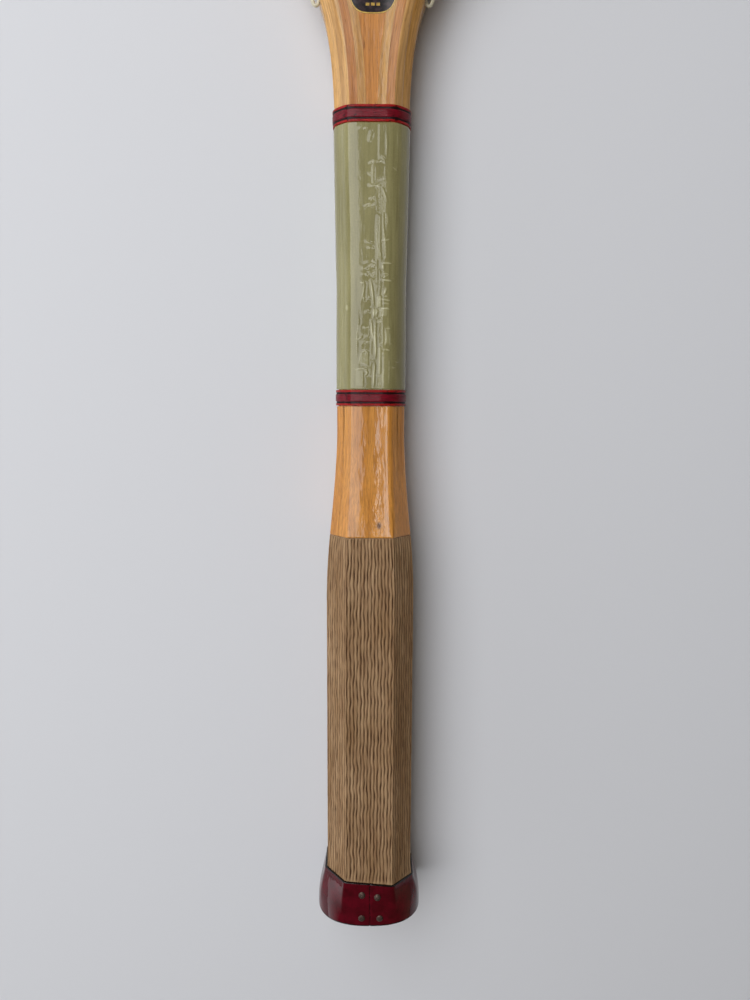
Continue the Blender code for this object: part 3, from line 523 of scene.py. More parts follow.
# %% Section of the frame
PLY, SHAVED_PLY, JOINT, SEAT = 2.8, 2.2, 0.3, 0.14
HOOP_HALF_DEPTH, HOOP_EDGE_ROUND, HOOP_INNER_ROUND = 9.5, 1.6, 1.2
HOOP_THICKNESS = 4 * PLY + 3 * JOINT
SHAFT_CHAMFER = SHAVED_PLY + JOINT + PLY
SHAFT_ROUNDNESS, HOOP_ROUNDNESS = 1.12, 2.2
UPPER_BINDING_END, SHOULDER_TOP = HEAD_BOTTOM - 75.5, 215.3
GROOVE_HALF, GROOVE_DEEP, GROOVE_FROM = 2.575, 1.9, HEAD_BOTTOM + 17.0


def outer_thickness(y):
    return mix(SHAVED_PLY, PLY, ease(y, SHAFT_PARALLEL_END, THROAT_FULL))


def strip_offsets(index, y):
    """Distances of a strip's two faces in from the outer edge."""
    outer = outer_thickness(y)
    if index == 0:
        return np.zeros_like(outer), outer
    start = outer + JOINT + (index - 1) * (PLY + JOINT)
    return start, start + PLY


def head_share(y):
    """0 on the shaft, 1 where the head ellipse begins."""
    return ease(y, UPPER_BINDING_END, TANGENT_Y)


def face_height(y):
    return mix(SHAFT_HALF_DEPTH, HOOP_HALF_DEPTH, head_share(y))


# %% [markdown]
# The handle is an octagon: half its width and depth, and half of the flats on its face and its
# side. The strips are shaved to fit inside it, so its octagon is needed for their section too.

# %% Octagons of the handle and shaft
GRIP, BUTT = (17.7, 16.5, 9.7, 7.1), (19.6, 17.1, 10.6, 7.8)
FLARE_START, FLARE_END, TAPER_START, TAPER_END = 4.0, 22.0, 138.0, 207.0
SHOULDER_WALL = 0.65


def grow(octagon, distance):
    """Move every side of an octagon outwards by the same distance."""
    half_width, half_depth, face_flat, side_flat = octagon
    normal = unit(np.array([half_depth - side_flat, half_width - face_flat]))
    reach = normal[0] * half_width + normal[1] * side_flat + distance
    wide, deep = half_width + distance, half_depth + distance
    flats = (reach - normal[1] * deep) / normal[0], (reach - normal[0] * wide) / normal[1]
    return wide, deep, *flats


def octagon_corners(octagon):
    """Corners from the left end of the front face, clockwise."""
    half_width, half_depth, face_flat, side_flat = octagon
    quarter = np.array([(face_flat, half_depth), (half_width, side_flat)])
    signs = (1, 1), (1, -1), (-1, -1), (-1, 1)
    turned = [quarter[::1 - 2 * (k % 2)] * sign for k, sign in enumerate(signs)]
    return np.roll(np.concatenate(turned), 1, axis=0)


def shaft_octagon(y):
    half_width = outline_at(y)[0][0]
    flats = half_width - SHAFT_CHAMFER, SHAFT_HALF_DEPTH - SHAFT_CHAMFER
    return half_width, SHAFT_HALF_DEPTH, *flats


def handle_octagon(y):
    """Butt flare, parallel grip and the taper of the shoulder."""
    if y < FLARE_END:
        return tuple(mix(a, b, float(ease(y, FLARE_START, FLARE_END))) for a, b in zip(BUTT, GRIP))
    top = grow(shaft_octagon(SHOULDER_TOP), SHOULDER_WALL)
    return tuple(mix(a, b, float(ease(y, TAPER_START, TAPER_END))) for a, b in zip(GRIP, top))


def bevel_z(octagon, x):
    """Height of the sloping side over a place across the octagon."""
    half_width, half_depth, face_flat, side_flat = octagon
    return side_flat + (half_width - x) * (half_depth - side_flat) / (half_width - face_flat)


def section_height(y, x, offset):
    """Half depth of the frame at distances in from its outer edge."""
    if y <= SHOULDER_TOP:
        inside = grow(handle_octagon(y), -SHOULDER_WALL)
        return np.minimum(SHAFT_HALF_DEPTH, bevel_z(inside, x - offset))
    share = float(head_share(y))
    reach = float(outer_thickness(y)) + JOINT + PLY * (1.0 - share)
    drop = mix(SHAFT_CHAMFER, HOOP_EDGE_ROUND, share)
    inward = np.clip(1.0 - offset / reach, 0.0, 1.0)
    return float(face_height(y)) - drop * inward ** mix(SHAFT_ROUNDNESS, HOOP_ROUNDNESS, share)


# %% Loft the strips
STRIP_STEP, ACROSS, INNER_FADE, GROOVE_FADE = 2.2, 8, 10.0, 8.0
GROOVE_SHAPE = np.array([(-1.0, 0.0), (-0.97, 0.55), (-0.85, 0.93), (-0.5, 1.0), (0.0, 1.0)])
GROOVE_SHAPE = np.concatenate([GROOVE_SHAPE, GROOVE_SHAPE[-2::-1] * FLIP])


def strip_ring(index, place, normal):
    """One ring of a strip: across the front, down the inner edge, back and up the outer edge."""
    y = place[1]
    first, last = (float(part) for part in strip_offsets(index, np.array(y)))
    first, last = first - (SEAT if index > 0 else 0.0), last + SEAT
    offsets = np.linspace(first, last, ACROSS)
    high = section_height(y, abs(place[0]), offsets)
    if index == 3:
        fade = float(ease(y, TANGENT_Y - INNER_FADE, TANGENT_Y + INNER_FADE))
        high = high - HOOP_INNER_ROUND * fade * np.linspace(0.0, 1.0, ACROSS) ** 3
    groove = 0.0
    if index == 0:
        groove = GROOVE_DEEP * float(ease(y, GROOVE_FROM, GROOVE_FROM + GROOVE_FADE))
    edge = [(first + groove * deep, part * GROOVE_HALF) for part, deep in GROOVE_SHAPE]
    inner = [(last, high[-1] * part) for part in (0.5, 0.0, -0.5)]
    front = np.stack([offsets, high], -1)
    ring = np.concatenate([front, inner, front[::-1] * (1, -1), edge])
    flat = place[None, :] - ring[:, :1] * normal[None, :]
    return np.column_stack([flat, ring[:, 1]])


STRIPS = (
    ("outer_ply", outer_wood), ("second_ply", second_wood),
    ("third_ply", third_wood), ("inner_ply", inner_wood),
)
frame_place, frame_normal, _ = whole_frame(STRIP_STEP)
strips = []
for index, (name, finish) in enumerate(STRIPS):
    rings = [strip_ring(index, p, n) for p, n in zip(frame_place, frame_normal)]
    strips.append(loft(name + "_strip", rings, [finish], angle=50))
print("stations along the frame:", len(frame_place))

# %% [markdown]
# ## The throat wedge
#
# A solid core fills the space between the two legs of the hoop, from the butt up to the bow that
# closes the head. Its side follows the inner strip and its top the inner ellipse, so its outline
# is drawn as one loop and given its depth. A bevel whose width fades towards the thin horns
# rounds the bow as the inner strip is rounded, so that the head opening has one even edge.

# %% Wedge
THINNEST_HORN, WEDGE_STEP, BOW_POINTS, BOW_SEGMENTS = 1.0, 2.0, 61, 4
ROUND_FADES = 0.72, 0.95  # shares of the bow's half width


def bow_height(x):
    """Height of the bow at distances from the middle."""
    point, normal = ellipse_at(np.linspace(0.0, math.pi / 2, 4000))
    bow = point - normal * HOOP_THICKNESS
    return np.interp(x, bow[:, 0], bow[:, 1])


side_place, side_normal = right_half(WEDGE_STEP)
reach = strip_offsets(3, side_place[:, 1])[1] + JOINT - SEAT
wedge_side = side_place - side_normal * reach[:, None]
is_thick = bow_height(wedge_side[:, 0]) - wedge_side[:, 1] > THINNEST_HORN
wedge_side = wedge_side[:int(np.argmin(is_thick))]
bow_half = wedge_side[-1, 0]
bow_x = np.linspace(bow_half, -bow_half, BOW_POINTS)
bow = np.stack([bow_x, bow_height(np.abs(bow_x))], -1)
loop = np.concatenate([wedge_side, bow, wedge_side[::-1] * FLIP])
deep = face_height(loop[:, 1])
count = len(loop)
wedge_points = np.concatenate([np.column_stack([loop, deep]), np.column_stack([loop, -deep])])
faces = [(i, (i + 1) % count, (i + 1) % count + count, i + count) for i in range(count)]
faces = [list(range(count)), list(range(count, 2 * count))] + faces
wedge = mesh_piece("throat_wedge_core", wedge_points, faces, [wedge_wood])
weights = wedge.data.attributes.new("bevel_weight_edge", "FLOAT", "EDGE")
first_bow, last_bow = len(wedge_side), len(wedge_side) + len(bow) - 1
fade_start, fade_end = (part * bow_half for part in ROUND_FADES)
for edge in wedge.data.edges:
    a, b = (v % count for v in edge.vertices)
    if first_bow <= min(a, b) < max(a, b) <= last_bow:
        fade = 1.0 - ease(abs(loop[a][0]), fade_start, fade_end)
        weights.data[edge.index].value = float(fade)
step = wedge.modifiers.new("round the bow", "BEVEL")
step.limit_method = "WEIGHT"
step.width = HOOP_INNER_ROUND * MM
step.segments = BOW_SEGMENTS
print("wedge outline points:", count)

# %% [markdown]
# ## String holes
#
# Each string passes through a small drilled hole, square to the hoop on the head and slanting
# down through the throat for the middle strings. Holes repeat by the dozen, which is work for
# Geometry Nodes: the points carry the direction of drilling, a rod is placed on each, and one
# Boolean takes all the rods from the strip.

# %% Where the strings go
MAIN_COUNT, CROSS_COUNT, STRING_RADIUS, STRING_LANE = 16, 18, 0.675, 1.6
MAIN_MARGIN, CROSS_MARGIN = 10.0, 16.4
WEAVE_RISE = STRING_RADIUS + JOINT / 2
CLEAR = STRING_RADIUS + JOINT
MAIN_PITCH = 2 * (HEAD_HALF_WIDTH - HOOP_THICKNESS - MAIN_MARGIN) / (MAIN_COUNT - 1)
CROSS_PITCH = 2 * (HEAD_HALF_LENGTH - HOOP_THICKNESS - CROSS_MARGIN) / (CROSS_COUNT - 1)
THROAT_EXITS = [HEAD_BOTTOM + rise for rise in (-35.5, -16.5, -0.5, 11.0)]


def solve(test, low, high):
    """Value at which a test changes from true to false."""
    for _ in range(40):
        middle = (low + high) / 2
        low, high = (middle, high) if test(middle) else (low, middle)
    return low


def inner_point(angle):
    """Where a string bends out of the bed towards its hole."""
    point, normal = ellipse_at(angle)
    return point - normal * (HOOP_THICKNESS + CLEAR)


def hole_for_angle(angle):
    """Inner end, outer end and outward normal of a hole square to the hoop."""
    point, normal = ellipse_at(angle)
    if angle >= TANGENT_ANGLE:
        return inner_point(angle), point, normal

    def is_inside(reach):
        x, y = point + normal * reach
        return x < outline_at(y)[0][0]

    outside = point + normal * solve(is_inside, 0.0, HOOP_THICKNESS)
    return inner_point(angle), outside, outline_at(outside[1])[1]


def main_holes(index):
    """Bottom and top hole of a main string."""
    x = (index - (MAIN_COUNT - 1) / 2) * MAIN_PITCH
    reach, rank = abs(x), int(abs(x) / MAIN_PITCH)
    bottom = hole_for_angle(solve(lambda a: inner_point(a)[0] < reach, 0.0, math.pi / 2))
    top = hole_for_angle(solve(lambda a: inner_point(a)[0] > reach, math.pi / 2, math.pi))
    if rank < len(THROAT_EXITS):
        bottom = (bottom[0], *outline_at(THROAT_EXITS[rank]))
    sign = FLIP if x < 0 else 1.0
    return [tuple(part * sign for part in hole) for hole in (bottom, top)]


def cross_holes(index):
    """Left and right hole of a cross string."""
    y = HEAD_CENTRE + (index - (CROSS_COUNT - 1) / 2) * CROSS_PITCH
    right = hole_for_angle(solve(lambda a: inner_point(a)[1] < y, 0.0, math.pi))
    return [tuple(part * FLIP for part in right), right]


mains = [main_holes(i) for i in range(MAIN_COUNT)]
crosses = [cross_holes(j) for j in range(CROSS_COUNT)]
SETS = (("main_string", mains, STRING_LANE), ("cross_string", crosses, -STRING_LANE))
print("string holes:", 2 * (len(mains) + len(crosses)))


# %% Node tree that drills holes
def start_tree(name, sockets):
    """Start a Geometry Nodes tree with named inputs. Each is given by its kind and first value."""
    tree = bpy.data.node_groups.new(name, "GeometryNodeTree")
    for way in ("INPUT", "OUTPUT"):
        tree.interface.new_socket("Geometry", in_out=way, socket_type="NodeSocketGeometry")
    for label, (kind, value) in {**sockets, "Finish": ("Material", None)}.items():
        kind = "NodeSocket" + kind
        socket = tree.interface.new_socket(label, in_out="INPUT", socket_type=kind)
        if value is not None:
            socket.default_value = value
    return tree, add(tree, "NodeGroupInput").outputs


def end_tree(tree, geometry, finish):
    """Every tree ends as a real mesh with its finish."""
    real = add(tree, "GeometryNodeRealizeInstances", {"Geometry": geometry}).outputs[0]
    painted = add(tree, "GeometryNodeSetMaterial", {"Geometry": real, "Material": finish})
    add(tree, "NodeGroupOutput", {"Geometry": painted.outputs[0]})


def run_tree(item, tree, values):
    """Run a tree on an object, with inputs set by identifier, and keep a plain mesh."""
    step = item.modifiers.new("nodes", "NODES")
    step.node_group = tree
    for socket in tree.interface.items_tree:
        if socket.in_out == "INPUT" and socket.name in values:
            step[socket.identifier] = values[socket.name]
    return freeze(item)


def freeze(item):
    """Replace an object by its evaluated mesh, with no modifiers left."""
    graph = bpy.context.evaluated_depsgraph_get()
    mesh = bpy.data.meshes.new_from_object(
        item.evaluated_get(graph), preserve_all_data_layers=True, depsgraph=graph)
    made, label = put("made", mesh), item.name
    bpy.data.objects.remove(item, do_unlink=True)
    made.name = mesh.name = label
    return made


def model_in(tree, source):
    """The geometry of an object that is given to a tree."""
    model = add(tree, "GeometryNodeObjectInfo", {"Object": source}, transform_space="ORIGINAL")
    return model.outputs["Geometry"]


def stand_copies(tree, points, model):
    """A copy of a model on each point, turned to the direction that the point carries."""
    way = {"Name": "direction"}
    way = add(tree, "GeometryNodeInputNamedAttribute", way, data_type="FLOAT_VECTOR").outputs[0]
    turned = add(tree, "FunctionNodeAlignRotationToVector", {"Vector": way}, axis="Z").outputs[0]
    inputs = {"Points": points, "Instance": model, "Rotation": turned}
    return add(tree, "GeometryNodeInstanceOnPoints", inputs).outputs[0]


drill, drill_in = start_tree("drill holes", {
    "Places": ("Object", None),
    "Hole Radius": ("Float", 0.001),
    "Hole Length": ("Float", 0.04),
    "Sides": ("Int", 14),
})
rod = {"Radius": "Hole Radius", "Depth": "Hole Length", "Vertices": "Sides"}
rod = {socket: drill_in[name] for socket, name in rod.items()}
rod = add(drill, "GeometryNodeMeshCylinder", rod).outputs["Mesh"]
rods = stand_copies(drill, model_in(drill, drill_in["Places"]), rod)
rods = add(drill, "GeometryNodeRealizeInstances", {"Geometry": rods}).outputs[0]
solids = {"Mesh 1": drill_in["Geometry"], "Mesh 2": rods}
drilled = add(drill, "GeometryNodeMeshBoolean", solids, operation="DIFFERENCE", solver="EXACT")
end_tree(drill, drilled.outputs["Mesh"], drill_in["Finish"])


# %% Drill the strips and the wedge
HOLE_RADIUS, SHORT_HOLE, SHORT_ROD, ROD_MARGIN = 0.95, 20.0, 24.0, 6.0


def cloud(name, points, directions):
    """Loose points that carry a direction."""
    item = plain_mesh(name, points)
    set_attribute(item, "direction", directions)
    return item


seats = []
for _, pairs, lane in SETS:
    for inside, outside, _ in (hole for pair in pairs for hole in pair):
        run = outside - inside
        length = np.linalg.norm(run)
        seats.append((length, (*(inside + outside) / 2, lane), (*run / length, 0.0)))
longest = max(length for length, _, _ in seats)
wedge = freeze(wedge)
for is_short, rod_length in ((True, SHORT_ROD), (False, longest + ROD_MARGIN)):
    group = [seat for seat in seats if (seat[0] < SHORT_HOLE) == is_short]
    places = cloud("hole places", [seat[1] for seat in group], [seat[2] for seat in group])
    sizes = {"Places": places, "Hole Radius": HOLE_RADIUS * MM, "Hole Length": rod_length * MM}
    for index, (name, finish) in enumerate(STRIPS):
        strips[index] = run_tree(strips[index], drill, {**sizes, "Finish": finish})
    wedge = run_tree(wedge, drill, {**sizes, "Finish": wedge_wood})
    bpy.data.objects.remove(places, do_unlink=True)
    print("holes:", len(group), "rod length, mm:", round(rod_length, 1))

# %% [markdown]
# The holes are in, so now each point of the strips learns where it lies in the wood: how far
# across the strip, how far along it and how deep. A search tree finds the nearest station of the
# frame line, and the rest is measured from there. The straight wedge needs only its own place.

# %% Grain of the strips
frame_tree = KDTree(len(FINE_PLACE))
for index, (x, y) in enumerate(FINE_PLACE):
    frame_tree.insert((x, y, 0.0), index)
frame_tree.balance()


def station(x, y):
    return frame_tree.find((x, y, 0.0))[1]


def strip_grain(points):
    """Distance across, along and through the strips, in metres."""
    found = np.array([station(x, y) for x, y, _ in points])
    offset = points[:, :2] - FINE_PLACE[found]
    normal = FINE_NORMAL[found]
    along = np.stack([-normal[:, 1], normal[:, 0]], -1)
    length = FINE_LENGTH[found] + (offset * along).sum(1)
    return np.column_stack([-(offset * normal).sum(1), length, points[:, 2]]) * MM


for item, (name, _) in zip(strips, STRIPS):
    shade(item, 50)
    set_attribute(item, "grain", strip_grain(points_of(item)))
    finish_piece(item, name + "_wood", name)
shade(wedge, 40)
set_attribute(wedge, "grain", points_of(wedge) * MM)
finish_piece(wedge, "wedge_wood", "throat_wedge")

# %% [markdown]
# ## Strings
#
# One length of clear nylon makes all the main strings and another all the cross strings, woven
# over and under and looped outside the hoop. The path is worked out point by point. Geometry
# Nodes then sweep a round section along it, which keeps the string evenly thick in every bend.

# %% Nylon finish
def clear_nylon():
    """Extruded nylon: pale, a little cloudy, with a soft shine along its length."""
    tree, dress = new_finish("extruded nylon")
    cloudy = speckle(tree, own_place(tree), 6.0, 3.0)
    dress(Roughness=0.28, IOR=1.53, Transmission_Weight=0.25, Coat_Weight=0.4, Coat_Roughness=0.12)
    return dress(Base_Color=tinted(tree, "#E0DABE", "#CDC6A8", cloudy, 0.0, 1.0))


nylon = clear_nylon()

# %% Node tree that sweeps a thread
sweep, sweep_in = start_tree("sweep a thread", {
    "Half Width": ("Float", 0.0005),
    "Half Height": ("Float", 0.0005),
    "Sides": ("Int", 12),
    "Width Lies Along": ("Vector", (0.0, 0.0, 1.0)),
})
line = add(sweep, "GeometryNodeMeshToCurve", {"Mesh": sweep_in["Geometry"]}).outputs[0]
held = {"Curve": line, "Normal": sweep_in["Width Lies Along"]}
held = add(sweep, "GeometryNodeSetCurveNormal", held, mode="FREE").outputs[0]
ring = {"Resolution": sweep_in["Sides"], "Radius": 1.0}
ring = add(sweep, "GeometryNodeCurvePrimitiveCircle", ring).outputs["Curve"]
size = {"X": sweep_in["Half Width"], "Y": sweep_in["Half Height"], "Z": 1.0}
size = add(sweep, "ShaderNodeCombineXYZ", size).outputs[0]
section = add(sweep, "GeometryNodeTransform", {"Geometry": ring, "Scale": size}).outputs[0]
tube = {"Curve": held, "Profile Curve": section, "Fill Caps": True}
tube = add(sweep, "GeometryNodeCurveToMesh", tube).outputs[0]
smooth = add(sweep, "GeometryNodeSetShadeSmooth", {"Geometry": tube}).outputs[0]
end_tree(sweep, smooth, sweep_in["Finish"])


def swept(name, path, half_width, half_height, finish, **values):
    """A thread along a path, with a section of its own."""
    sizes = {"Half Width": half_width * MM, "Half Height": half_height * MM, "Finish": finish}
    return run_tree(line_mesh(name, path), sweep, {**sizes, **values})


# %% Path of the strings
WEAVE_STEPS, BED_INSET = 6, HOOP_THICKNESS + 2.5
GROOVE_STEP, BEND_RADIUS, BEND_FROM, ARC_STEP = 3.0, WEAVE_RISE, math.radians(35), math.radians(18)


def crossing_side(i, j):
    return WEAVE_RISE if (i + j) % 2 == 0 else -WEAVE_RISE


def is_crossing(x, y):
    across = x / (HEAD_HALF_WIDTH - BED_INSET)
    along = (y - HEAD_CENTRE) / (HEAD_HALF_LENGTH - BED_INSET)
    return across * across + along * along < 1.0


def bed_run(pair, lane, met):
    """One stretch across the bed, eased from one height to the next between its crossings."""
    knots = [(*pair[0][0], lane)] + met + [(*pair[1][0], lane)]
    path = [Vector(knots[0])]
    for start, end in zip(knots, knots[1:]):
        for k in range(1, WEAVE_STEPS + 1):
            share = k / WEAVE_STEPS
            x, y = mix(start[0], end[0], share), mix(start[1], end[1], share)
            path.append(Vector((x, y, mix(start[2], end[2], float(ease(share, 0.0, 1.0))))))
    return path


main_x = [pair[0][0][0] for pair in mains]
cross_y = [pair[0][0][1] for pair in crosses]
met = [
    (i, j, (x, y, crossing_side(i, j)))
    for i, x in enumerate(main_x) for j, y in enumerate(cross_y) if is_crossing(x, y)
]
main_runs = [
    bed_run(pair, STRING_LANE, [place for i, _, place in met if i == k])
    for k, pair in enumerate(mains)
]
cross_runs = [
    bed_run(pair, -STRING_LANE, [(x, y, -z) for _, j, (x, y, z) in met if j == k])
    for k, pair in enumerate(crosses)
]
print("crossings:", len(met))


# %% Loops outside the hoop
def turn_out(hole, partner, lane):
    """How a string turns as it leaves its hole: into the groove, or just clear of the throat."""
    inside, outside, normal = hole
    if partner is None or outside[1] >= GROOVE_FROM:
        return [Vector((*(outside + normal * (CLEAR - GROOVE_DEEP)), lane))]
    along = unit(outside - inside)
    bend = outside + along * (CLEAR / along.dot(normal))
    turns = [Vector((*bend, lane))]
    if (partner[1] - outside).dot(along) < 0:
        turns.append(Vector((*(bend + normal * 2 * STRING_RADIUS), lane)))
    return turns


def groove_points(first, second, lane):
    """Points between two holes that keep the string on the floor of the groove."""
    if min(first[1][1], second[1][1]) < GROOVE_FROM:
        return []
    count = int(np.linalg.norm(second[1] - first[1]) / GROOVE_STEP)
    points = []
    for k in range(1, count + 1):
        found = station(*mix(first[1], second[1], k / (count + 1)))
        point = FINE_PLACE[found] - FINE_NORMAL[found] * (GROOVE_DEEP - STRING_RADIUS - JOINT)
        points.append(Vector((*point, lane)))
    return points


def rounded(points, radius):
    """Replace the sharp corners of a path by short arcs."""
    path = [points[0]]
    for before, corner, after in zip(points, points[1:], points[2:]):
        entry, leave = (before - corner).normalized(), (after - corner).normalized()
        bend = math.pi - entry.angle(leave)
        if bend < BEND_FROM:
            path.append(corner)
            continue
        back = radius * math.tan(bend / 2)
        centre = corner + (entry + leave).normalized() * radius / math.cos(bend / 2)
        first, last = corner + entry * back - centre, corner + leave * back - centre
        count = max(4, round(bend / ARC_STEP))
        for k in range(count + 1):
            part = bend * k / count
            reach = first * math.sin(bend - part) + last * math.sin(part)
            path.append(centre + reach / math.sin(bend))
    return path + [points[-1]]


def thread(runs, pairs, lane):
    """Join the stretches into one unbroken string."""
    path = []
    for index, (run, pair) in enumerate(zip(runs, pairs)):
        side = index % 2  # the hole that this stretch leaves by: low or left first, then the other
        start, end = pair[1 - side], pair[side]
        path += turn_out(start, None, lane) if index == 0 else []
        path += run if side else run[::-1]
        if index + 1 < len(runs):
            after = pairs[index + 1][side]
            path += turn_out(end, after, lane) + groove_points(end, after, lane)
            path += turn_out(after, end, lane)[::-1]
        else:
            path += turn_out(end, None, lane)
    return rounded(path, BEND_RADIUS)


for (name, pairs, lane), runs in zip(SETS, (main_runs, cross_runs)):
    path = thread(runs, pairs, lane)
    string = swept(name + "_nylon", path, STRING_RADIUS, STRING_RADIUS, nylon)
    finish_piece(string, "string_nylon", name)
    length = sum((b - a).length for a, b in zip(path, path[1:])) * MM
    print(name, "length, m:", round(length, 2))

# %% [markdown]
# ## Combed wood
#
# The grip is bare wood scored with fine grooves by a toothed scraper, so the hand holds it
# better. It is matt and worn, and the ridges are rubbed pale. The grooves are painted dark:
# partly grime, partly painted shade in the cuts. The mesh itself carries the grooves, and an
# attribute named depth says how deep each point lies, which lets the dark paint follow the cuts
# exactly.

# %% Combed wood finish
def combed_wood():
    """Beech left bare by the comb and worn by hands: matt and dull on its ridges, with its cuts
    painted dark as grime and painted shade.
    """
    tree, dress = new_finish("beech, combed and bare")
    grain, depth = stored(tree, "grain"), stored(tree, "depth", "Fac")
    # Real fibres are about 0.1 mm wide. They are drawn three times as coarse, so that they show.
    wear, streak, fibre, patch = patterns(
        tree, grain, (9.0, 45.0, 3.0), (1.1, 26.0, 3.0), (0.3, 5.0, 2.0), (1.6, 7.0, 3.0),
        roughness=0.6)
    ridge = tinted(tree, "#8E6F4C", "#A98B68", wear, 0.35, 0.65)
    ridge = tinted(tree, ridge, "#755436", streak, 0.42, 0.66, 0.6)
    # Painted darker the deeper the cut: grime, and painted shade in the grooves and the scribed
    # line.
    dirt_and_shade = ramp(tree, patch, 0.34, 0.62, 0.50, 0.95)
    dirt_and_shade = reckon(tree, "MULTIPLY", depth, dirt_and_shade, use_clamp=True)
    colour = tinted(tree, ridge, "#4E3420", dirt_and_shade, 0.0, 1.0)
    colour = shaded(tree, colour, fibre, 0.40, 0.66, 1.08, 0.80)
    dress(Base_Color=colour, Normal=bump(tree, fibre, 0.05, 0.7))
    return dress(Roughness=0.78, Specular_IOR_Level=0.25)


bare_wood = combed_wood()
shoulder_wood = varnished_wood(
    "beech shoulder, varnished", ("#C98A3E", "#B8782E", "#9A6224"), 1.0, 0.03, 0.014,
    shift=6.0, mark=(3.5, 168.8, 1.15, 1.7, 0.9, "#4E2A10"), drips=178.0,
)

# %% [markdown]
# ## The handle
#
# Two cheeks on the faces and two slips on the edges make the octagon. All four are lofts with
# closely spaced points across the grip. A rule sets the grooves: each flat has a whole number of
# them, about 1.4 mm apart, and each groove wanders and changes depth a little, as it does where
# a hand pulls the comb. Above the scribed line the grooves stop and the varnished shoulder tapers
# to the shaft, so faces above that line take the other finish.

# %% Grooves of the comb
COMB_TOP, LEATHER_TOP = 163.7, 18.5
LEATHER_SLACK, LEATHER_SLANT = 0.3, 0.085
GROOVE_CUT, TOOTH_HALF, TOOTH_SHAPE = 0.5, 0.29, 1.4
SCRIBE_CUT, SCRIBE_HALF = 0.22, 0.2
WANDER_LENGTHS = 1.7, 4.6, 1.15, 3.1
SHAKES = (0.09, 2.3), (0.05, 0.9)  # how far and over what length the whole comb strays
QUICK_STRAY, SLOW_STRAY = 0.05, 0.08
MEAN_CUT, QUICK_CUT, SLOW_CUT = 0.90, 0.22, 0.20
COMB_STOP = 0.5
chance = np.random.default_rng(7)
wander_turns = chance.uniform(0.0, 2 * math.pi, (4, 20))
wander_rates = chance.uniform(0.8, 1.25, (4, 20))


def wander(count, y):
    """How far each groove strays, in pitches, and how deep it is cut, at one height. The teeth
    of the comb shake together, and each also follows the grain in its own way."""
    waves = [
        np.sin(y / length * rates[:count] + turns[:count])
        for length, rates, turns in zip(WANDER_LENGTHS, wander_rates, wander_turns)
    ]
    together = sum(reach * math.sin(y / length) for reach, length in SHAKES)
    stray = together + QUICK_STRAY * waves[0] + SLOW_STRAY * waves[1]
    return stray, MEAN_CUT + QUICK_CUT * waves[2] + SLOW_CUT * waves[3]


def leather_top(x):
    """Upper edge of the leather, which was cut a little askew."""
    return LEATHER_TOP - LEATHER_SLACK - LEATHER_SLANT * x


def groove_depth(share, count, face, x, y):
    """Depth of the comb's cut across one flat, from 0 on a ridge to about 1 in a groove."""
    place = share * count
    which = np.clip(place.astype(int), 0, count - 1)
    stray, cut = wander(count, y + 40.0 * face)
    u = place - which - 0.5 - stray[which]
    across = np.clip(1.0 - (u / TOOTH_HALF) ** 2, 0.0, 1.0) ** TOOTH_SHAPE * cut[which]
    above = ease(y - leather_top(x), 0.2, 1.2)
    return across * above * (1.0 - float(ease(y, COMB_TOP - COMB_STOP, COMB_TOP)))


# %% Sections of the cheeks and slips
EXTRA = 8  # points past each joint, for smoothing only
FACE_FLAT, SIDE_FLAT, BEVEL = (112, 14), (80, 10), (32, 8)  # points and grooves on each
STACK_X, STACK_Z = SHAFT_HALF_WIDTH + 0.02, SHAFT_HALF_DEPTH + 0.02
JOINT_DEPTH = 0.6
WOOD_OVAL = (20.3, 17.4, 2.45)  # half width, half depth and the power that squares it
OVAL_FADE = (2.0, 14.0)  # heights between which the butt's oval turns into the octagon
SHARP, SOFT = 2, 9  # points on either side over which corners are averaged


def handle_heights():
    """Stations along the handle: close together at the scribed line, wider elsewhere."""
    near = (-0.7, -0.45, -0.25, -0.1, 0.0, 0.12, 0.24, 0.36, 0.5, 0.8, 1.4)
    return [
        *np.arange(0.0, 13.5, 1.5), *np.arange(13.6, COMB_TOP - 1.0, 0.75),
        *(COMB_TOP + part for part in near), *np.linspace(COMB_TOP + 2.4, SHOULDER_TOP, 40),
    ]


def smoothed(points, half):
    """Round the corners of a line of points by averaging over its neighbours."""
    return running_mean(np.pad(points, ((half, half), (0, 0)), "reflect", reflect_type="odd"), half)


def to_oval(line, oval):
    """Slide points along their rays from the middle on to an oval."""
    way = unit(line)
    wide, deep, power = oval
    reach = (np.abs(way[:, 0]) / wide) ** power + (np.abs(way[:, 1]) / deep) ** power
    return way * reach[:, None] ** (-1 / power)


def outward(line, slope):
    """Outward normals of a line round the middle, from its slope."""
    normal = unit(np.stack([-slope[:, 1], slope[:, 0]], -1))
    return normal * np.sign((normal * line).sum(1))[:, None]


def outer_line(corners, flats, y):
    """The outside of one piece at a height: rounded corners, crowned flats and the comb's cuts.
    A flat gives its points, its face, its first and last share of that and the face's grooves."""
    line, deep = [], []
    for start, end, (count, face, first, last, grooves) in zip(corners, corners[1:], flats):
        share = (np.arange(count) + 0.5) / count
        line.append(start + (end - start) * share[:, None])
        x, place = line[-1][:, 0], first + (last - first) * share
        deep.append(groove_depth(place, grooves, face, x, y) if grooves else 0 * share)
    line, deep = np.concatenate(line), np.concatenate(deep)
    softness = float(1.0 - ease(y, 2.0, 13.0) + 0.5 * ease(y, COMB_TOP, COMB_TOP + 6.0))
    line = mix(smoothed(line, SHARP), smoothed(line, SOFT), softness)
    line = mix(line, to_oval(line, WOOD_OVAL), float(1.0 - ease(y, *OVAL_FADE)))
    scribe = math.exp(-((y - COMB_TOP - 0.2) / SCRIBE_HALF) ** 2)
    cut = deep * GROOVE_CUT + SCRIBE_CUT * scribe
    line = line - outward(line, np.gradient(line, axis=0)) * cut[:, None]
    # The depth also paints the cuts and the scribed line dark in the finish: grime and painted
    # shade.
    return line[EXTRA:-EXTRA], np.clip(deep + scribe, 0.0, 1.3)[EXTRA:-EXTRA]


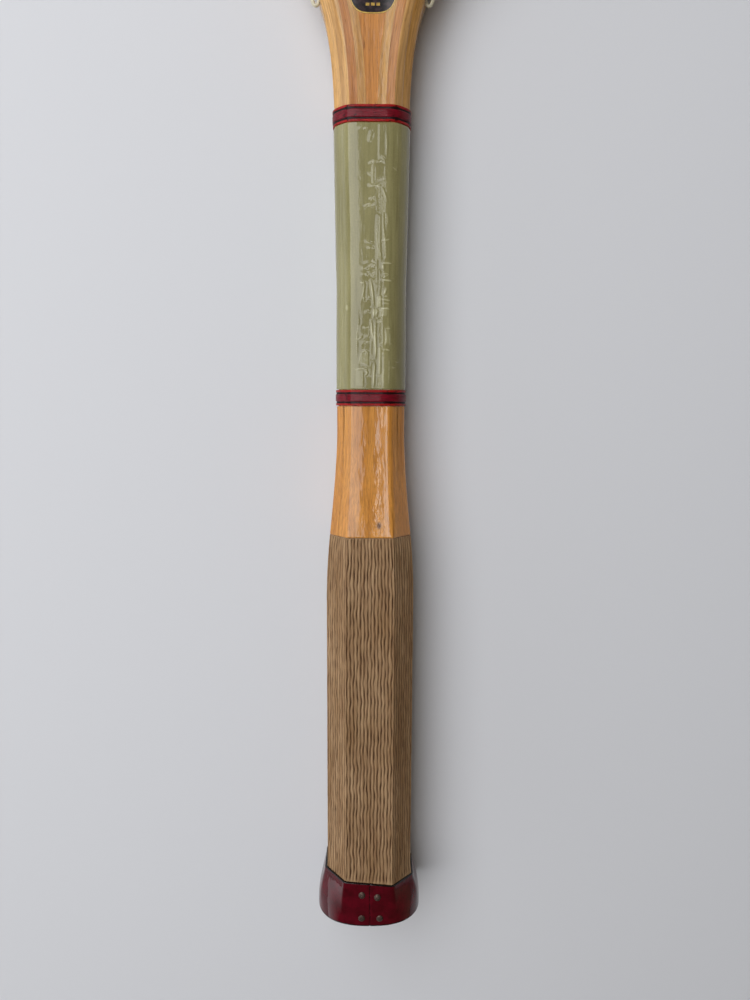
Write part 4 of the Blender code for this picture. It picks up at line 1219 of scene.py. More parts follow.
def bevel_x(octagon, z):
    half_width, half_depth, face_flat, side_flat = octagon
    return half_width - (z - side_flat) * (half_width - face_flat) / (half_depth - side_flat)


def handle_ring(y, is_cheek):
    """Section of a cheek or a slip, and how deep each point lies in the comb's cuts. They meet
    on the sloping face. The joint turns in just below it and ends at the stack of strips."""
    octagon = handle_octagon(y)
    inner = grow(octagon, -JOINT_DEPTH)
    side, face = np.array([octagon[0], octagon[3]]), np.array([octagon[2], octagon[1]])
    outside = (side + face) / 2
    middle = np.array([(inner[0] + inner[2]) / 2, (inner[1] + inner[3]) / 2])
    if is_cheek:
        half, before, after = np.array([side, outside, face]), FLIP, 1.0
        end = np.array([min(STACK_X, bevel_x(inner, STACK_Z)), STACK_Z])
        number, (points, grooves) = 1, FACE_FLAT
    else:
        half, before, after = np.array([face, outside, side]), 1.0, -FLIP
        end = np.array([STACK_X, min(STACK_Z, bevel_z(inner, STACK_X))])
        number, (points, grooves) = 3, SIDE_FLAT
    corners = np.concatenate([half * before, half[::-1] * after])
    flats = (
        (EXTRA, 0, 0, 0, 0),
        (BEVEL[0], number, 0.5, 1.0, BEVEL[1]),
        (points, number + 1, 0.0, 1.0, grooves),
        (BEVEL[0], number + 2, 0.0, 0.5, BEVEL[1]),
        (EXTRA, 0, 0, 0, 0),
    )
    line, deep = outer_line(corners, flats, y)
    joint = np.array([middle * after, end * after, end * before, middle * before])
    return np.concatenate([line, joint]), np.concatenate([deep, np.zeros(4)])


# %% Make the cheeks and slips
def handle_piece(name, is_cheek, turned):
    """Loft one piece, turned to the other side if need be, and give faces above the comb their
    varnish."""
    rings, depths = [], []
    for y in handle_heights():
        section, deep = handle_ring(y, is_cheek)
        rings.append(in_space(section * turned, y))
        depths.append(deep)
    item = loft(name, rings, [bare_wood, shoulder_wood], angle=60)
    set_attribute(item, "grain", points_of(item) * MM)
    set_attribute(item, "depth", np.concatenate(depths))
    is_high = read(item.data.polygons, "center")[:, 1] > (COMB_TOP + 0.3) * MM
    item.data.polygons.foreach_set("material_index", is_high.astype(np.int32))
    finish_piece(item, "handle_wood", "handle_" + name)


for name, is_cheek, turned in (
    ("cheek_front", True, 1), ("cheek_back", True, -1),
    ("slip_right", False, 1), ("slip_left", False, -1),
):
    handle_piece(name, is_cheek, turned)

# %% [markdown]
# ## The sleeve
#
# The shaft is wrapped in thin olive material and lacquered. The wrap has puckered: long upright
# wrinkles and short cross creases stand up from it, most of them near the middle of the face and
# towards the handle. The sleeve is a fine grid bent round the shaft. Each wrinkle is a short
# stroke that lifts the grid a little. The same number paints it paler in the finish, a painted
# highlight for the light that the raised wrinkles catch, and paints the dips beside them darker,
# a painted shade.

# %% Olive lacquer finish
def olive_lacquer():
    """Thin cloth wound on and lacquered: olive and almost a mirror, with painted highlights on its
    creases and painted shade beside them.
    """
    tree, dress = coated("wrapped cloth, lacquered olive", 0.1, 1.0, 0.04)
    place, crease = own_place(tree), stored(tree, "crease", "Fac")
    # The specks are the weave showing through. Its threads are about 0.2 mm and drawn at 0.5 mm.
    tone, streak, speck, ripple = patterns(
        tree, place, (7.0, 40.0, 3.0), (0.8, 30.0, 3.0), (0.5, 0.7, 2.0), (3.2, 16.0, 3.0),
        roughness=0.6)
    colour = tinted(tree, "#7D774E", "#8D875C", tone, 0.36, 0.64)
    colour = tinted(tree, colour, "#645E36", streak, 0.50, 0.72, 0.4)
    colour = shaded(tree, colour, speck, 0.35, 0.65, 0.95, 1.05)
    # Painted shade: darker in the dips beside the creases.
    colour = tinted(tree, colour, "#5A5432", crease, 0.0, -0.5, 0.6)
    # Painted highlight: paler on the creases and blisters, for the light that they catch.
    colour = tinted(tree, colour, "#BDB994", crease, 0.25, 0.80, 0.9)
    return dress(Base_Color=colour, Coat_Normal=bump(tree, ripple, 0.014))


lacquer = olive_lacquer()

# %% Rings round the shaft
def wrap_line(y, lift, count=230, round_half=0.05):
    """Points round the shaft at a height, evenly spaced, lifted off the wood, with soft corners."""
    corners = octagon_corners(grow(shaft_octagon(y), lift))
    closed = np.concatenate([corners, corners[:1]])
    steps = np.linalg.norm(np.diff(closed, axis=0), axis=1)
    length = np.concatenate([[0.0], np.cumsum(steps)])
    place = np.linspace(0.0, length[-1], count, endpoint=False) + steps[0] / 2
    line = [np.interp(place % length[-1], length, closed[:, k]) for k in (0, 1)]
    return closed_smooth(np.stack(line, -1), max(1, int(count * round_half / 2)))


def lifted(line, height):
    """Move each point of a ring outwards by its own height."""
    slope = np.roll(line, -1, axis=0) - np.roll(line, 1, axis=0)
    return line + outward(line, slope) * height[:, None]


# %% Strokes of the creases
SLEEVE_START, SLEEVE_END = 222.0, 320.1
SLEEVE_POINTS, SLEEVE_STEP, SLEEVE_ROUND, SLEEVE_LIFTS = 300, 0.34, 0.075, (1.0, 0.75)
STROKE_SAMPLES, STROKE_REACH = 40, 2.0
sleeve_rows = round((SLEEVE_END - SLEEVE_START) / SLEEVE_STEP)
sleeve_heights = np.linspace(SLEEVE_START, SLEEVE_END, sleeve_rows)
sleeve_lifts = np.linspace(*SLEEVE_LIFTS, sleeve_rows)
sleeve_lines = [
    wrap_line(y, lift, SLEEVE_POINTS, SLEEVE_ROUND)
    for y, lift in zip(sleeve_heights, sleeve_lifts)
]
first_line = sleeve_lines[0]
around = np.linalg.norm(np.diff(first_line, axis=0, append=first_line[:1]), axis=1)
arc = np.concatenate([[0.0], np.cumsum(around)[:-1]])
turn_length = around.sum()
front = arc[np.argmin(np.abs(first_line[:, 0]) - 1e3 * (first_line[:, 1] > 0))]
arc = (arc - front + turn_length / 2) % turn_length - turn_length / 2
arc = arc * np.sign(first_line[np.argmin(np.abs(arc - 5.0)), 0])
crease = np.zeros((sleeve_rows, SLEEVE_POINTS))


def stroke(places, width, strength):
    """Add one wrinkle through a few places, given as distance round the shaft and height."""
    places = np.reshape(places, (-1, 2)).astype(float)
    last = len(places) - 1
    fine = np.linspace(0, last, STROKE_SAMPLES)
    x, y = (np.interp(fine, np.arange(last + 1), places[:, k]) for k in (0, 1))
    taper = np.sin(np.pi * np.clip(fine / last, 0.02, 0.98)) ** 0.5
    near = [
        np.where((grid > line.min() - STROKE_REACH) & (grid < line.max() + STROKE_REACH))[0]
        for grid, line in ((sleeve_heights, y), (arc, x))
    ]
    if min(len(part) for part in near) == 0:
        return
    a, b = np.meshgrid(arc[near[1]], sleeve_heights[near[0]])
    gap = np.hypot(a[..., None] - x, b[..., None] - y)
    raised = (np.exp(-(gap / width) ** 2) * taper).max(-1) * strength
    crease[np.ix_(*near)] = np.maximum(crease[np.ix_(*near)], raised)


def upright(middle, y, length):
    """A long wrinkle that wanders as it runs along the shaft."""
    count = max(4, int(length / 3))
    steps = np.cumsum(chance.normal(0.0, 0.28, count))
    heights = np.linspace(y - length / 2, y + length / 2, count)
    return np.column_stack([middle + steps - steps.mean(), heights])


def level(middle, y, length):
    """A short crease across the shaft."""
    lean, bow = chance.normal(0.0, 0.12) * length, chance.normal(0.0, 0.25)
    return [(middle - length / 2, y - lean), (middle, y + bow), (middle + length / 2, y + lean)]


# %% Wrinkles on the face of the sleeve
# Each entry gives width and strength, then distance round from the middle of the face and height
# for each place that the wrinkle passes.
FACE_WRINKLES = (
    (0.3, 0.9, 5.2, 319.7, 5.4, 312.8, 5.3, 306.3), (0.3, 0.6, 5.1, 306.3, 5, 302.7, 5.2, 299.4),
    (0.5, 0.6, -0.2, 316.8, -0.8, 313.6), (0.35, 0.7, 9.3, 318.2, 9.9, 310),
    (0.3, 0.6, 12.2, 319.3, 12, 306.3, 11, 299, 10.7, 289.9, 11, 270.9),
    (0.3, 0.8, 2.8, 308.3, 3.8, 307.4, 5.1, 306.3),
    (0.28, 0.9, -0.8, 305.6, 0.8, 306.3, 2.3, 306.3, 5, 305.5),
    (0.28, 0.8, 0.6, 305.2, 0.5, 302, 0.6, 298.3), (0.26, 1, -1.1, 297.8, 1.2, 297.6, 3.5, 297.7),
    (0.32, 0.9, 3.9, 297.2, 5, 294.3, 5.9, 291.3), (0.3, 0.8, 7.3, 304.5, 9.7, 303.1),
    (0.3, 0.6, 9.2, 305.6, 9.1, 302.3), (0.26, 0.5, -7.6, 300.5, -5, 300.3),
    (0.3, 0.8, 2, 286.9, 1.9, 280.6, 2.3, 275.4, 2.7, 270.9),
    (0.3, 0.9, 4.4, 287.7, 4.5, 282.5, 5.2, 276.9, 5.8, 270.9), (0.3, 0.7, 6, 287.7, 6.2, 282.8),
    (0.26, 1, 4, 277.8, 5.5, 277.9, 7.1, 278.2), (0.26, 0.5, 3.6, 276.9, 5.2, 278.4, 5.9, 279.9),
    (0.28, 0.5, -12.7, 295.4, -12.8, 284.3, -12.7, 270.9),
    (0.28, 0.4, -11.8, 317.2, -11.9, 306.3, -12, 299), (0.3, 0.6, 3.4, 274.3, 3.7, 270.2),
    (0.26, 1, 3.9, 269.4, 6, 269.5, 8.1, 269.4), (0.5, 0.8, 4.4, 268.7, 4.6, 267.3),
    (0.26, 0.5, -1, 268.1, 0.6, 268.6, 1.9, 268.7), (0.4, 0.5, -4.5, 267.5, -1.4, 267.5),
    (0.4, 0.5, -4.7, 265.3, -1.4, 265.4), (0.26, 0.7, 4.5, 265.6, 6.8, 265.5),
    (0.26, 0.6, 5.3, 264.3, 7, 265.5), (0.3, 1, 4.1, 263.3, 6, 263.1, 8.2, 263),
    (0.28, 0.8, -4.5, 262.2, -2.5, 262.2), (0.3, 0.6, -2.4, 262.2, -3.1, 258.5, -3.7, 255.4),
    (0.34, 0.9, -0.2, 263, 0.4, 259.2, 1, 253.9), (0.4, 0.8, 5.9, 260.4, 5, 257.7),
    (0.35, 0.8, 5.3, 257.3, 6.3, 257.1), (0.28, 0.9, 3.7, 256.3, 5.7, 255.9, 7.7, 255.5),
    (0.3, 0.7, 4.3, 254.8, 7.3, 254.3), (0.28, 1, 3.6, 252.6, 5.3, 252.7, 7.4, 252.4),
    (0.36, 0.9, 1, 252.6, 1.1, 249.3), (0.36, 0.7, 2.3, 252.4, 2.1, 249.7),
    (0.28, 0.6, 2.2, 247.3, 3.4, 247.8, 4.7, 247.6),
    (0.42, 1, 1.7, 248.2, 1.5, 242, 1.8, 237.8, 1.7, 233.9),
    (0.32, 0.9, 0.1, 248.2, 0.3, 243.9, 0.9, 240.9), (0.28, 0.8, 5.6, 245.1, 7.7, 245.1),
    (0.34, 0.8, 5.8, 245.1, 6, 241.2, 5.6, 238.5), (0.34, 0.6, 7.4, 243.9, 7.3, 237.8),
    (0.3, 0.9, 5.4, 237.3, 7.4, 236.8),
    (0.3, 0.6, -5.1, 251.6, -4.8, 247.8, -5.3, 243.9, -5.6, 240.9, -5.5, 236.2, -6, 232.3),
    (0.3, 0.6, -5.4, 240.7, -4, 241.6, -3.4, 242), (0.3, 0.6, -3.8, 236, -2.4, 236.6, -1, 236.2),
    (0.34, 0.5, -3.8, 235.8, -4.4, 233.1, -4.8, 230.8),
    (0.26, 0.8, -6.4, 229.5, -4.4, 229.8, -2.3, 229.8),
    (0.28, 0.7, -2.8, 229.2, -1.3, 228.4, -2.4, 226.9), (0.26, 0.4, -3.5, 226.9, -3.4, 223),
    (0.34, 0.9, 1.5, 231.9, 1.2, 227.3, 1.1, 223),
    (0.36, 0.7, 3.8, 238.2, 3.5, 233.1, 3.3, 228.1),
    (0.32, 0.7, 5.1, 230.4, 4.8, 226.9, 5, 222.6),
    (0.32, 0.6, 7.1, 236.2, 7.1, 228.4, 6.9, 222.6), (0.9, 0.6, -9.8, 254.1, -9.6, 252),
    (0.28, 0.4, -12.7, 274.3, -12.9, 255.4, -12.7, 236.2),
    (0.28, 0.4, -11.6, 228.4, -11.6, 222.6),
)
# The blisters are raised patches, which the finish also paints paler as a painted highlight.
# Each blister gives its left, right, lower and upper limit and its strength.
BLISTERS = (
    (2.5, 5.2, 306.7, 319.1, 0.35), (0.8, 5, 299, 305.4, 0.3), (8.9, 12, 306.3, 318.2, 0.25),
    (2.1, 3.6, 270.9, 286.9, 0.45), (2.1, 3.6, 270.2, 274.3, 0.45), (2.2, 3.9, 253.1, 257.3, 0.6),
    (1.2, 2.2, 249.5, 252.6, 0.5), (3.6, 6.3, 249.3, 252.4, 0.45), (6, 7.4, 238.2, 244.9, 0.4),
    (-4.2, -0.9, 230.8, 236.2, 0.45), (-5.9, -2.8, 223, 229.4, 0.4),
    (2.9, 3.9, 227.7, 237.8, 0.55), (4.8, 7, 223, 236.2, 0.3), (-4.4, -2.5, 255.4, 262.2, 0.3),
    (-4.8, -0.5, 242, 245.9, 0.25),
)
SIDE_SOFT, END_SOFT, BLISTER_SHARE = 0.25, 0.3, 0.9


def past(value, limit, soft):
    """0 before a limit and 1 past it, with a soft edge."""
    return ease(value, limit - soft, limit + soft)


for width, strength, *places in FACE_WRINKLES:
    stroke(places, width, strength)
a, y = np.meshgrid(arc, sleeve_heights)
for left, right, bottom, top, strength in BLISTERS:
    skew = chance.normal(0.0, 0.15, 2)
    inside = past(a, left, SIDE_SOFT) * (1 - past(a, right, SIDE_SOFT))
    inside = inside * past(y + skew[0] * a, bottom, END_SOFT)
    inside = inside * (1 - past(y + skew[1] * a, top, END_SOFT))
    crease = np.maximum(crease, inside * strength * BLISTER_SHARE)

# %% Fainter wrinkles all round
LONG_COUNT, FACE_COUNT, SIDE_COUNT, SIDE_START = 40, 46, 60, 8.0
CALM_FROM, CALM_TO, CALM_SHARE = 262.0, 290.0, 0.3
VALLEY_SHIFT, VALLEY_FROM, VALLEY_DEEP = 2, 0.2, 0.45


def sleeve_height(bias):
    """A chance height on the sleeve, more often low the stronger the bias."""
    return SLEEVE_START + (SLEEVE_END - SLEEVE_START) * chance.beta(1.0, bias)


for _ in range(LONG_COUNT):
    y = chance.uniform(SLEEVE_START, SLEEVE_END)
    middle = chance.uniform(-turn_length / 2, turn_length / 2)
    stroke(upright(middle, y, chance.uniform(8, 30)), 0.3, chance.uniform(0.15, 0.45))
for _ in range(FACE_COUNT):
    y = sleeve_height(1.3)
    wrinkle = level(chance.normal(1.5, 3.6), y, chance.uniform(1.5, 5.0))
    stroke(wrinkle, 0.24, chance.uniform(0.25, 0.6))
for _ in range(SIDE_COUNT):
    y = sleeve_height(1.2)
    middle = chance.uniform(SIDE_START, turn_length - SIDE_START)
    middle = middle if middle < turn_length / 2 else middle - turn_length
    shape, limits = (upright, (4, 18)) if chance.random() < 0.5 else (level, (1.5, 6))
    wrinkle = shape(middle, y, chance.uniform(*limits))
    stroke(wrinkle, 0.28, chance.uniform(0.3, 0.7))
crease *= (1.0 - CALM_SHARE * ease(sleeve_heights, CALM_FROM, CALM_TO))[:, None]
# Beside each wrinkle the grid dips a little, and the finish paints these dips darker as painted
# shade.
valley = np.clip(np.roll(crease, VALLEY_SHIFT, axis=1) - crease, 0.0, 1.0)
crease = np.where(crease > VALLEY_FROM, crease, crease - VALLEY_DEEP * valley)
print("share of the sleeve that is creased:", round(float((crease > 0.3).mean()), 3))

# %% Make the sleeve
CREASE_LIFT, EDGE_TUCK, SLEEVE_BORE = 0.16, 0.12, 0.25
tuck = np.zeros(sleeve_rows)
tuck[[0, -1]] = EDGE_TUCK
rings = [
    in_space(lifted(line, puckers * CREASE_LIFT - edge), y)
    for y, line, puckers, edge in zip(sleeve_heights, sleeve_lines, crease, tuck)
]
rings += [in_space(wrap_line(y, SLEEVE_BORE, SLEEVE_POINTS), y) for y in (SLEEVE_END, SLEEVE_START)]
sleeve = loft("sleeve", rings, [lacquer], closed=True, angle=60)
set_attribute(sleeve, "crease", np.concatenate([crease.ravel(), np.zeros(2 * SLEEVE_POINTS)]))
finish_piece(sleeve, "sleeve_lacquer", "shaft_sleeve")

# %% [markdown]
# ## Bindings
#
# At each end of the sleeve the shaft is whipped with thread: a maroon band between two narrow
# red rings, all under varnish, with dark glue in the gaps. Each is one thread wound in close
# turns, so the same sweep that made the strings winds them, with a flattened section. Real
# thread is about 0.3 mm thick, and varnish fills it almost smooth. A turn here stands for a few
# of its turns, so that they show.

# %% Thread finishes
def varnished_thread(name, tones, coat=0.28):
    """Silk or cotton thread soaked in varnish: glossy, with darker blots where varnish pooled."""
    tree, dress = coated(name, 0.1, coat, 0.05)
    sizes = (2.6, 0.5, 3.0), (1.8, 1.1, 3.0), (1.6, 1.2, 3.0)
    tone, pool, ripple = patterns(tree, own_place(tree), *sizes)
    bright, deep, blot = tones
    colour = tinted(tree, bright, deep, tone, 0.36, 0.64)
    colour = tinted(tree, colour, blot, pool, 0.56, 0.70, 0.8)
    return dress(Base_Color=colour, Coat_Normal=bump(tree, ripple, 0.06))


maroon_thread = varnished_thread(
    "maroon cotton thread, varnished", ("#74081C", "#5C0614", "#2C0409"))
red_thread = varnished_thread("red cotton thread, varnished", ("#A41A16", "#821012", "#480809"))
pooled_glue = varnished_thread(
    "pooled glue, near black", ("#200A0C", "#160608", "#100405"), 0.15)


# %% Wind the bindings
BINDING_LENGTH, RING_WIDTH, BAND_GAP = 6.1, 0.92, 0.62
BAND_WIDTH = BINDING_LENGTH - 2 * (RING_WIDTH + BAND_GAP)
STEP_UP = 0.12  # share of a turn in which the thread steps up to the next one
GLUE_INSET, GLUE_BORE, GLUE_WALL = 0.3, 0.12, 0.38
WOUND_POINTS, GLUE_POINTS = 72, 120
WOUND = {"Sides": 16, "Width Lies Along": (0.0, 1.0, 0.0)}
RING = (RING_WIDTH, 2, 0.30, 0.32, red_thread, "binding_red")
BAND = (BAND_WIDTH, 4, 0.68, 0.36, maroon_thread, "binding_maroon")


def winding(ring, start, width, half, turns):
    """Path of a thread wound between two heights: level over the front, stepping up at the back."""
    path, count = [], len(ring)
    for k in range(turns * count + 1):
        turn = k // count + float(ease(k % count, 0.0, STEP_UP * count)) - 1.0
        share = max(0.0, min(turns - 1.0, turn)) / (turns - 1.0)
        x, z = ring[(k + count // 2) % count]
        path.append((x, start + half + (width - 2 * half) * share, z))
    return path


for label, start, base, soft in (
    ("lower_binding", SHOULDER_TOP + JOINT, 0.6, 0.10),
    ("upper_binding", UPPER_BINDING_END - BINDING_LENGTH, 0.25, 0.07),
):
    end = start + BINDING_LENGTH
    for part, low, (width, turns, half, half_height, finish, slot) in (
        ("_lower_ring", start, RING),
        ("_band", start + RING_WIDTH + BAND_GAP, BAND),
        ("_upper_ring", end - RING_WIDTH, RING),
    ):
        ring = wrap_line(low + width / 2, base + half_height, WOUND_POINTS, soft)
        path = winding(ring, low, width, half, turns)
        wound = swept(label + part + "_thread", path, half, half_height, finish, **WOUND)
        finish_piece(wound, slot, label + part)
    low, high, top = start + GLUE_INSET, end - GLUE_INSET, base + GLUE_WALL
    corners = ((low, GLUE_BORE), (high, GLUE_BORE), (high, top), (low, top))
    rings = [in_space(wrap_line(y, lift, GLUE_POINTS, 0.7 * soft), y) for y, lift in corners]
    finish_piece(loft(label + "_glue", rings, [pooled_glue], closed=True), "binding_maroon")

# %% [markdown]
# ## The leather butt band
#
# A strip of crimson leather is wrapped wet round the butt, tacked beside its seam and finished
# to a gloss. It follows the octagon of the grip at its upper edge and swells to a smooth oval at
# the butt. The loft blends the one outline into the other, sinks a little at each tack and along
# the seam, and thins to a dark edge.

# %% Leather finish
def glossy_leather():
    """Dyed and glazed cowhide: deep crimson under a thin gloss, rubbed to black along its edges."""
    tree, dress = coated("cowhide, dyed crimson and glazed", 0.0, 0.85, 0.06)
    place = own_place(tree)
    tone, mottle, frayed, ripple = patterns(
        tree, place, (5.0, 5.0, 3.0), (1.3, 1.8, 3.0), (0.8, 0.8, 2.0), (4.0, 6.0, 2.0))
    # The pores of glazed hide are about 0.2 mm apart. They are drawn at 0.45 mm, so that they show.
    pores = {"Vector": place, "Scale": 1 / (0.45 * MM)}
    pores = add(tree, "ShaderNodeTexVoronoi", pores, feature="SMOOTH_F1").outputs["Distance"]
    colour = tinted(tree, "#520412", "#42030C", tone, 0.38, 0.62)
    colour = tinted(tree, colour, "#2A0206", mottle, 0.52, 0.76, 0.35)
    ragged = ramp(tree, frayed, 0.3, 0.7, -0.25, 0.25)
    rim = reckon(tree, "ADD", stored(tree, "wear", "Fac"), ragged)
    colour = tinted(tree, colour, "#0C0304", rim, 0.35, 0.75)
    dress(Normal=bump(tree, pores, 0.03, 0.4), Coat_Normal=bump(tree, ripple, 0.05))
    return dress(Base_Color=colour)


leather_finish = glossy_leather()

# %% Leather band
SEAM_X, SEAM_HALF, SEAM_DEEP, DENT = 0.5, 0.22, 0.22, 0.015
TACKS = ((-2.8, 13.6), (3.6, 12.7), (-2.9, 3.8), (4.6, 3.7))
OVAL = (21.95, 18.85, 2.45)
BORE_OVAL = (WOOD_OVAL[0] + 0.1, WOOD_OVAL[1] + 0.1, WOOD_OVAL[2])
OVAL_SPREAD = (2.0, 17.5)  # heights between which the leather's oval turns into the octagon
SEAM_SWAY, SEAM_BEND, SEAM_DENT, TACK_DENT = 0.10, 2.7, 0.9, 1.6
LEATHER_WALLS = (0.0, 3.0, 16.0, 18.3, 18.5), (1.0, 1.1, 0.75, 0.70, 0.5)  # heights, thicknesses
BASE_ROUND, BASE_TUCK, UNDER_LEATHER, BORE_GAP = 0.8, 0.6, 0.25, 0.05
LEATHER_POINTS = (70, 42, 48, 42)  # on a face, a bevel, a side and a bevel


def octagon_line(octagon):
    """Points round an octagon with softened corners, a fixed number on each side."""
    corners = octagon_corners(octagon)
    line = []
    for k, (start, end) in enumerate(zip(corners, np.roll(corners, -1, axis=0))):
        count = LEATHER_POINTS[k % 4]
        line.append(start + (end - start) * ((np.arange(count) + 0.5) / count)[:, None])
    return closed_smooth(np.concatenate(line), 3)


def leather_wall(y):
    """Skived a little thinner towards the upper edge, which is cut square."""
    return float(np.interp(y, *LEATHER_WALLS))


def leather_ring(y):
    """Outside of the leather at a height, and how worn each point is."""
    line = octagon_line(grow(handle_octagon(y), UNDER_LEATHER + leather_wall(y)))
    line = mix(line, to_oval(line, OVAL), float(1.0 - ease(y, *OVAL_SPREAD)))
    under = max(0.0, BASE_ROUND - y) / BASE_ROUND
    cut = np.full(len(line), BASE_TUCK * (1.0 - math.sqrt(max(0.0, 1.0 - under ** 2))))
    is_front = line[:, 1] > 0
    from_seam = line[:, 0] - SEAM_X
    sway = SEAM_SWAY * math.sin(y / SEAM_BEND)
    seam = np.exp(-((from_seam - sway) / SEAM_HALF) ** 2) * is_front
    cut += SEAM_DEEP * seam + DENT * np.exp(-(from_seam / SEAM_DENT) ** 2) * is_front
    for x, height in TACKS:
        gap = np.hypot(line[:, 0] - x, y - height)
        cut += DENT * np.exp(-(gap / TACK_DENT) ** 2) * is_front
    edges = ease(y, LEATHER_TOP - 0.55, LEATHER_TOP - 0.2) + 1.0 - ease(y, 0.4, 1.3)
    return lifted(line, -cut), np.maximum(seam * 0.75, float(edges))


def leather_bore(y):
    line = octagon_line(grow(handle_octagon(y), BORE_GAP))
    return mix(line, to_oval(line, BORE_OVAL), float(1.0 - ease(y, *OVAL_FADE)))


def skewed(line, y):
    """Ring in space, with the upper edge cut askew."""
    lean = float(ease(y, 8.0, LEATHER_TOP))
    return in_space(line, y + (leather_top(line[:, 0]) - LEATHER_TOP) * lean)


leather_heights = [
    *np.arange(0.0, 1.2, 0.15), *np.arange(1.3, 16.5, 0.3), *np.arange(16.6, 18.51, 0.1)]
bore_heights = (LEATHER_TOP, 9.0, 0.0)
outside = [leather_ring(y) for y in leather_heights]
rings = [skewed(line, y) for (line, _), y in zip(outside, leather_heights)]
rings += [skewed(leather_bore(y), y) for y in bore_heights]
leather = loft("butt_leather", rings, [leather_finish], closed=True, angle=50)
worn = [wear for _, wear in outside] + [np.ones(len(bore_heights) * len(rings[0]))]
set_attribute(leather, "wear", np.concatenate(worn))
finish_piece(leather, "butt_leather", "butt_band")

# %% [markdown]
# ## Tacks
#
# Four small domed tacks hold the ends of the leather. One head is turned as a profile, a shallow
# dome with a worn dimple, and Geometry Nodes set a copy on each point, tilted to the leather.

# %% Tack finish and head
def oxidised_steel():
    """Stamped steel left to tarnish: brown and half dull, so that its dome takes a soft light."""
    tree, dress = new_finish("mild steel, oxidised brown")
    # Grains of rust are about 0.1 mm. They are drawn at 0.5 mm, so that they show.
    rust = speckle(tree, own_place(tree), 0.5, 4.0)
    rusty = ramp(tree, rust, 0.35, 0.65)
    dress(Metallic=0.75, Roughness=ramp(tree, rusty, 0.0, 1.0, 0.38, 0.62))
    colour = tinted(tree, "#5C4C42", "#3A2C26", rusty, 0.0, 1.0)
    return dress(Base_Color=colour, Normal=bump(tree, rust, 0.05, 0.6))


TACK_PROFILE = (  # radius and height, from the middle of the dome to the point of the nail
    (0.0, 0.34), (0.4, 0.36), (0.8, 0.34), (1.12, 0.25), (1.34, 0.11),
    (1.42, 0.0), (1.32, -0.08), (0.5, -0.10), (0.45, -3.5), (0.0, -4.5),
)
tack_head = line_mesh("tack head", [(radius, 0.0, z) for radius, z in TACK_PROFILE])
turning = tack_head.modifiers.new("turn", "SCREW")
turning.axis, turning.steps, turning.render_steps = "Z", 28, 28
turning.use_merge_vertices, turning.merge_threshold = True, 0.00001
turning.use_normal_calculate = True
tack_head = freeze(tack_head)
face_outwards(tack_head.data, merge=0.000005)
print("tack head faces:", len(tack_head.data.polygons))

# %% Set the tacks
TILT_REACH = 1.2  # the leather's slope at a tack is measured this far on either side
nail, nail_in = start_tree("set tacks", {"Head": ("Object", None)})
driven = stand_copies(nail, nail_in["Geometry"], model_in(nail, nail_in["Head"]))
end_tree(nail, driven, nail_in["Finish"])


def leather_height(x, y):
    """How high the front of the leather stands at a place."""
    line = leather_ring(y)[0]
    line = line[line[:, 1] > 0]
    line = line[np.argsort(line[:, 0])]
    return np.interp(x, line[:, 0], line[:, 1])


places, ways = [], []
for x, y in TACKS:
    fall = leather_height(x, y - TILT_REACH) - leather_height(x, y + TILT_REACH)
    places.append((x, y, leather_height(x, y)))
    ways.append(unit(np.array([0.0, fall / (2 * TILT_REACH), 1.0])))
heads = {"Head": tack_head, "Finish": oxidised_steel()}
tacks = run_tree(cloud("butt_tacks", places, ways), nail, heads)
bpy.data.objects.remove(tack_head, do_unlink=True)
tacks.data.shade_smooth()
finish_piece(tacks, "tack_steel", "butt_tack_1", "butt_tack_2", "butt_tack_3", "butt_tack_4")

# %% [markdown]
# ## The transfer on the throat
#
# The throat of such a racket carries a small printed transfer under the varnish. Here it is a
# plain dark oval with a gold line, two rows of short gold dashes and no words: a thin disc whose
# points store their place in the oval, from which the finish draws the line and the dashes.

# %% Transfer
OVAL_HALF, OVAL_MIDDLE = (8.8, 10.8), (0.2, 368.7)
OVAL_POWER = 3.1  # 2 would be an ellipse, and the printed oval is squarer
FILM_LIFT, FILM = 0.03, 0.08
STEPS, SIDES = 14, 72


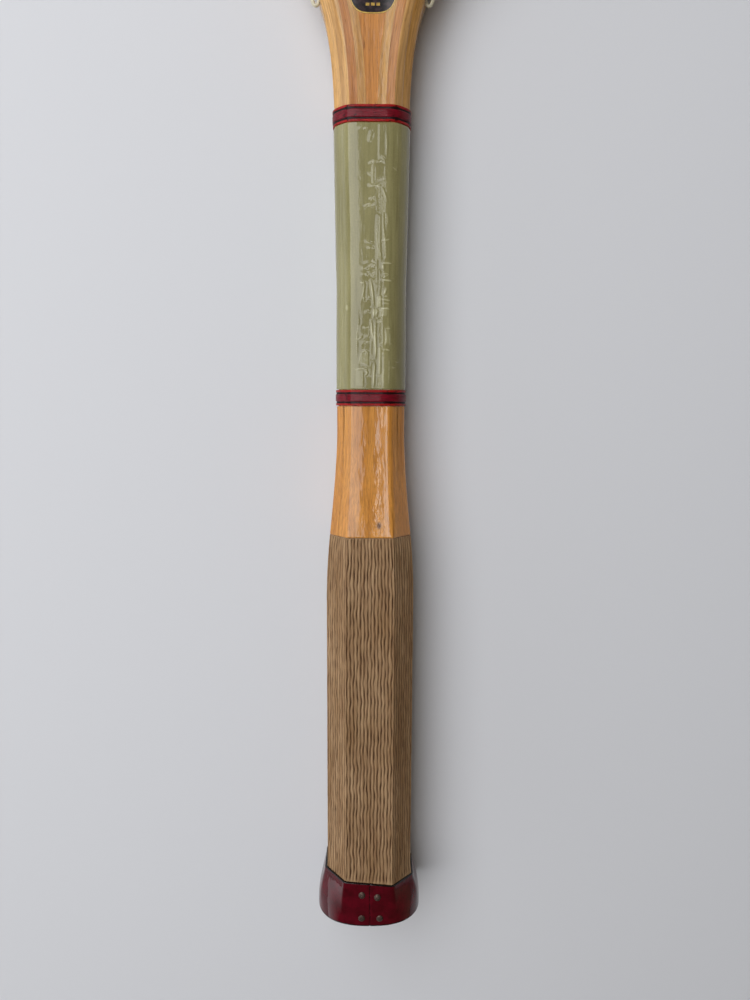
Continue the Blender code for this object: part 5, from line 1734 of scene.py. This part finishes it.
def printed_transfer():
    """Ink and gold powder on thin film, varnished over: near black, with a dull gold line."""
    tree, dress = coated("printed transfer under varnish", 0.1, 0.6, 0.06)
    place = stored(tree, "oval")
    parts = add(tree, "ShaderNodeSeparateXYZ", {"Vector": place}).outputs
    worn = {"Vector": place, "Scale": 5.0, "Detail": 4.0}
    worn = add(tree, "ShaderNodeTexNoise", worn).outputs["Fac"]
    dashes = reckon(tree, "PINGPONG", parts["X"], 0.11)
    marks = []
    for value, middle, half in (
        (parts["Z"], 0.975, 0.020),
        (parts["Y"], 0.12, 0.04),
        (parts["Y"], -0.70, 0.045),
        (parts["X"], 0.0, 0.32),
        (dashes, 0.0, 0.075),
    ):
        gap = reckon(tree, "ABSOLUTE", reckon(tree, "SUBTRACT", value, middle))
        marks.append(reckon(tree, "LESS_THAN", gap, half))
    rim, upper_row, lower_row, near, dash = marks
    gold = reckon(tree, "MAXIMUM", upper_row, lower_row)
    for operation, mark in (("MULTIPLY", near), ("MULTIPLY", dash), ("MAXIMUM", rim)):
        gold = reckon(tree, operation, gold, mark)
    ink = tinted(tree, "#140E10", "#3E2E32", worn, 0.42, 0.70)
    leaf = tinted(tree, "#D0AC58", "#947632", worn, 0.35, 0.65)
    return dress(Base_Color=tinted(tree, ink, leaf, gold, 0.0, 1.0))


def on_disc(row, k):
    """Number of a point on the disc. The middle is point 0."""
    return 1 + row * SIDES + k % SIDES


angles = np.linspace(0, 2 * math.pi, SIDES, endpoint=False)
around = np.stack([np.cos(angles), np.sin(angles)], -1)
around = np.sign(around) * np.abs(around) ** (2 / OVAL_POWER)
radii = np.linspace(0, 1, STEPS + 1)[1:]
flat = np.concatenate([[(0.0, 0.0)], (radii[:, None, None] * around).reshape(-1, 2)])
ovals = np.column_stack([flat, np.concatenate([[0.0], np.repeat(radii, SIDES)])])
flat = flat * OVAL_HALF + OVAL_MIDDLE
upper = np.column_stack([flat, face_height(flat[:, 1]) + FILM_LIFT])
total = len(upper)
faces = [(0, on_disc(0, k), on_disc(0, k + 1)) for k in range(SIDES)]
faces += [
    (on_disc(row, k), on_disc(row + 1, k), on_disc(row + 1, k + 1), on_disc(row, k + 1))
    for row in range(STEPS - 1) for k in range(SIDES)
]
under = [tuple(v + total for v in face) for face in faces]
rim = [(on_disc(STEPS - 1, k), on_disc(STEPS - 1, k + 1)) for k in range(SIDES)]
walls = [(a, a + total, b + total, b) for a, b in rim]
points = np.concatenate([upper, upper - (0, 0, FILM)])
transfer = mesh_piece("throat_transfer", points, faces + under + walls, [printed_transfer()])
set_attribute(transfer, "oval", np.concatenate([ovals, ovals]))
finish_piece(transfer, "wedge_wood")

# %% [markdown]
# ## Last update
#
# The dressed racket must stay the size of its frame. Here the view layer is brought up to date once
# more.

# %% Finish
bpy.context.view_layer.update()
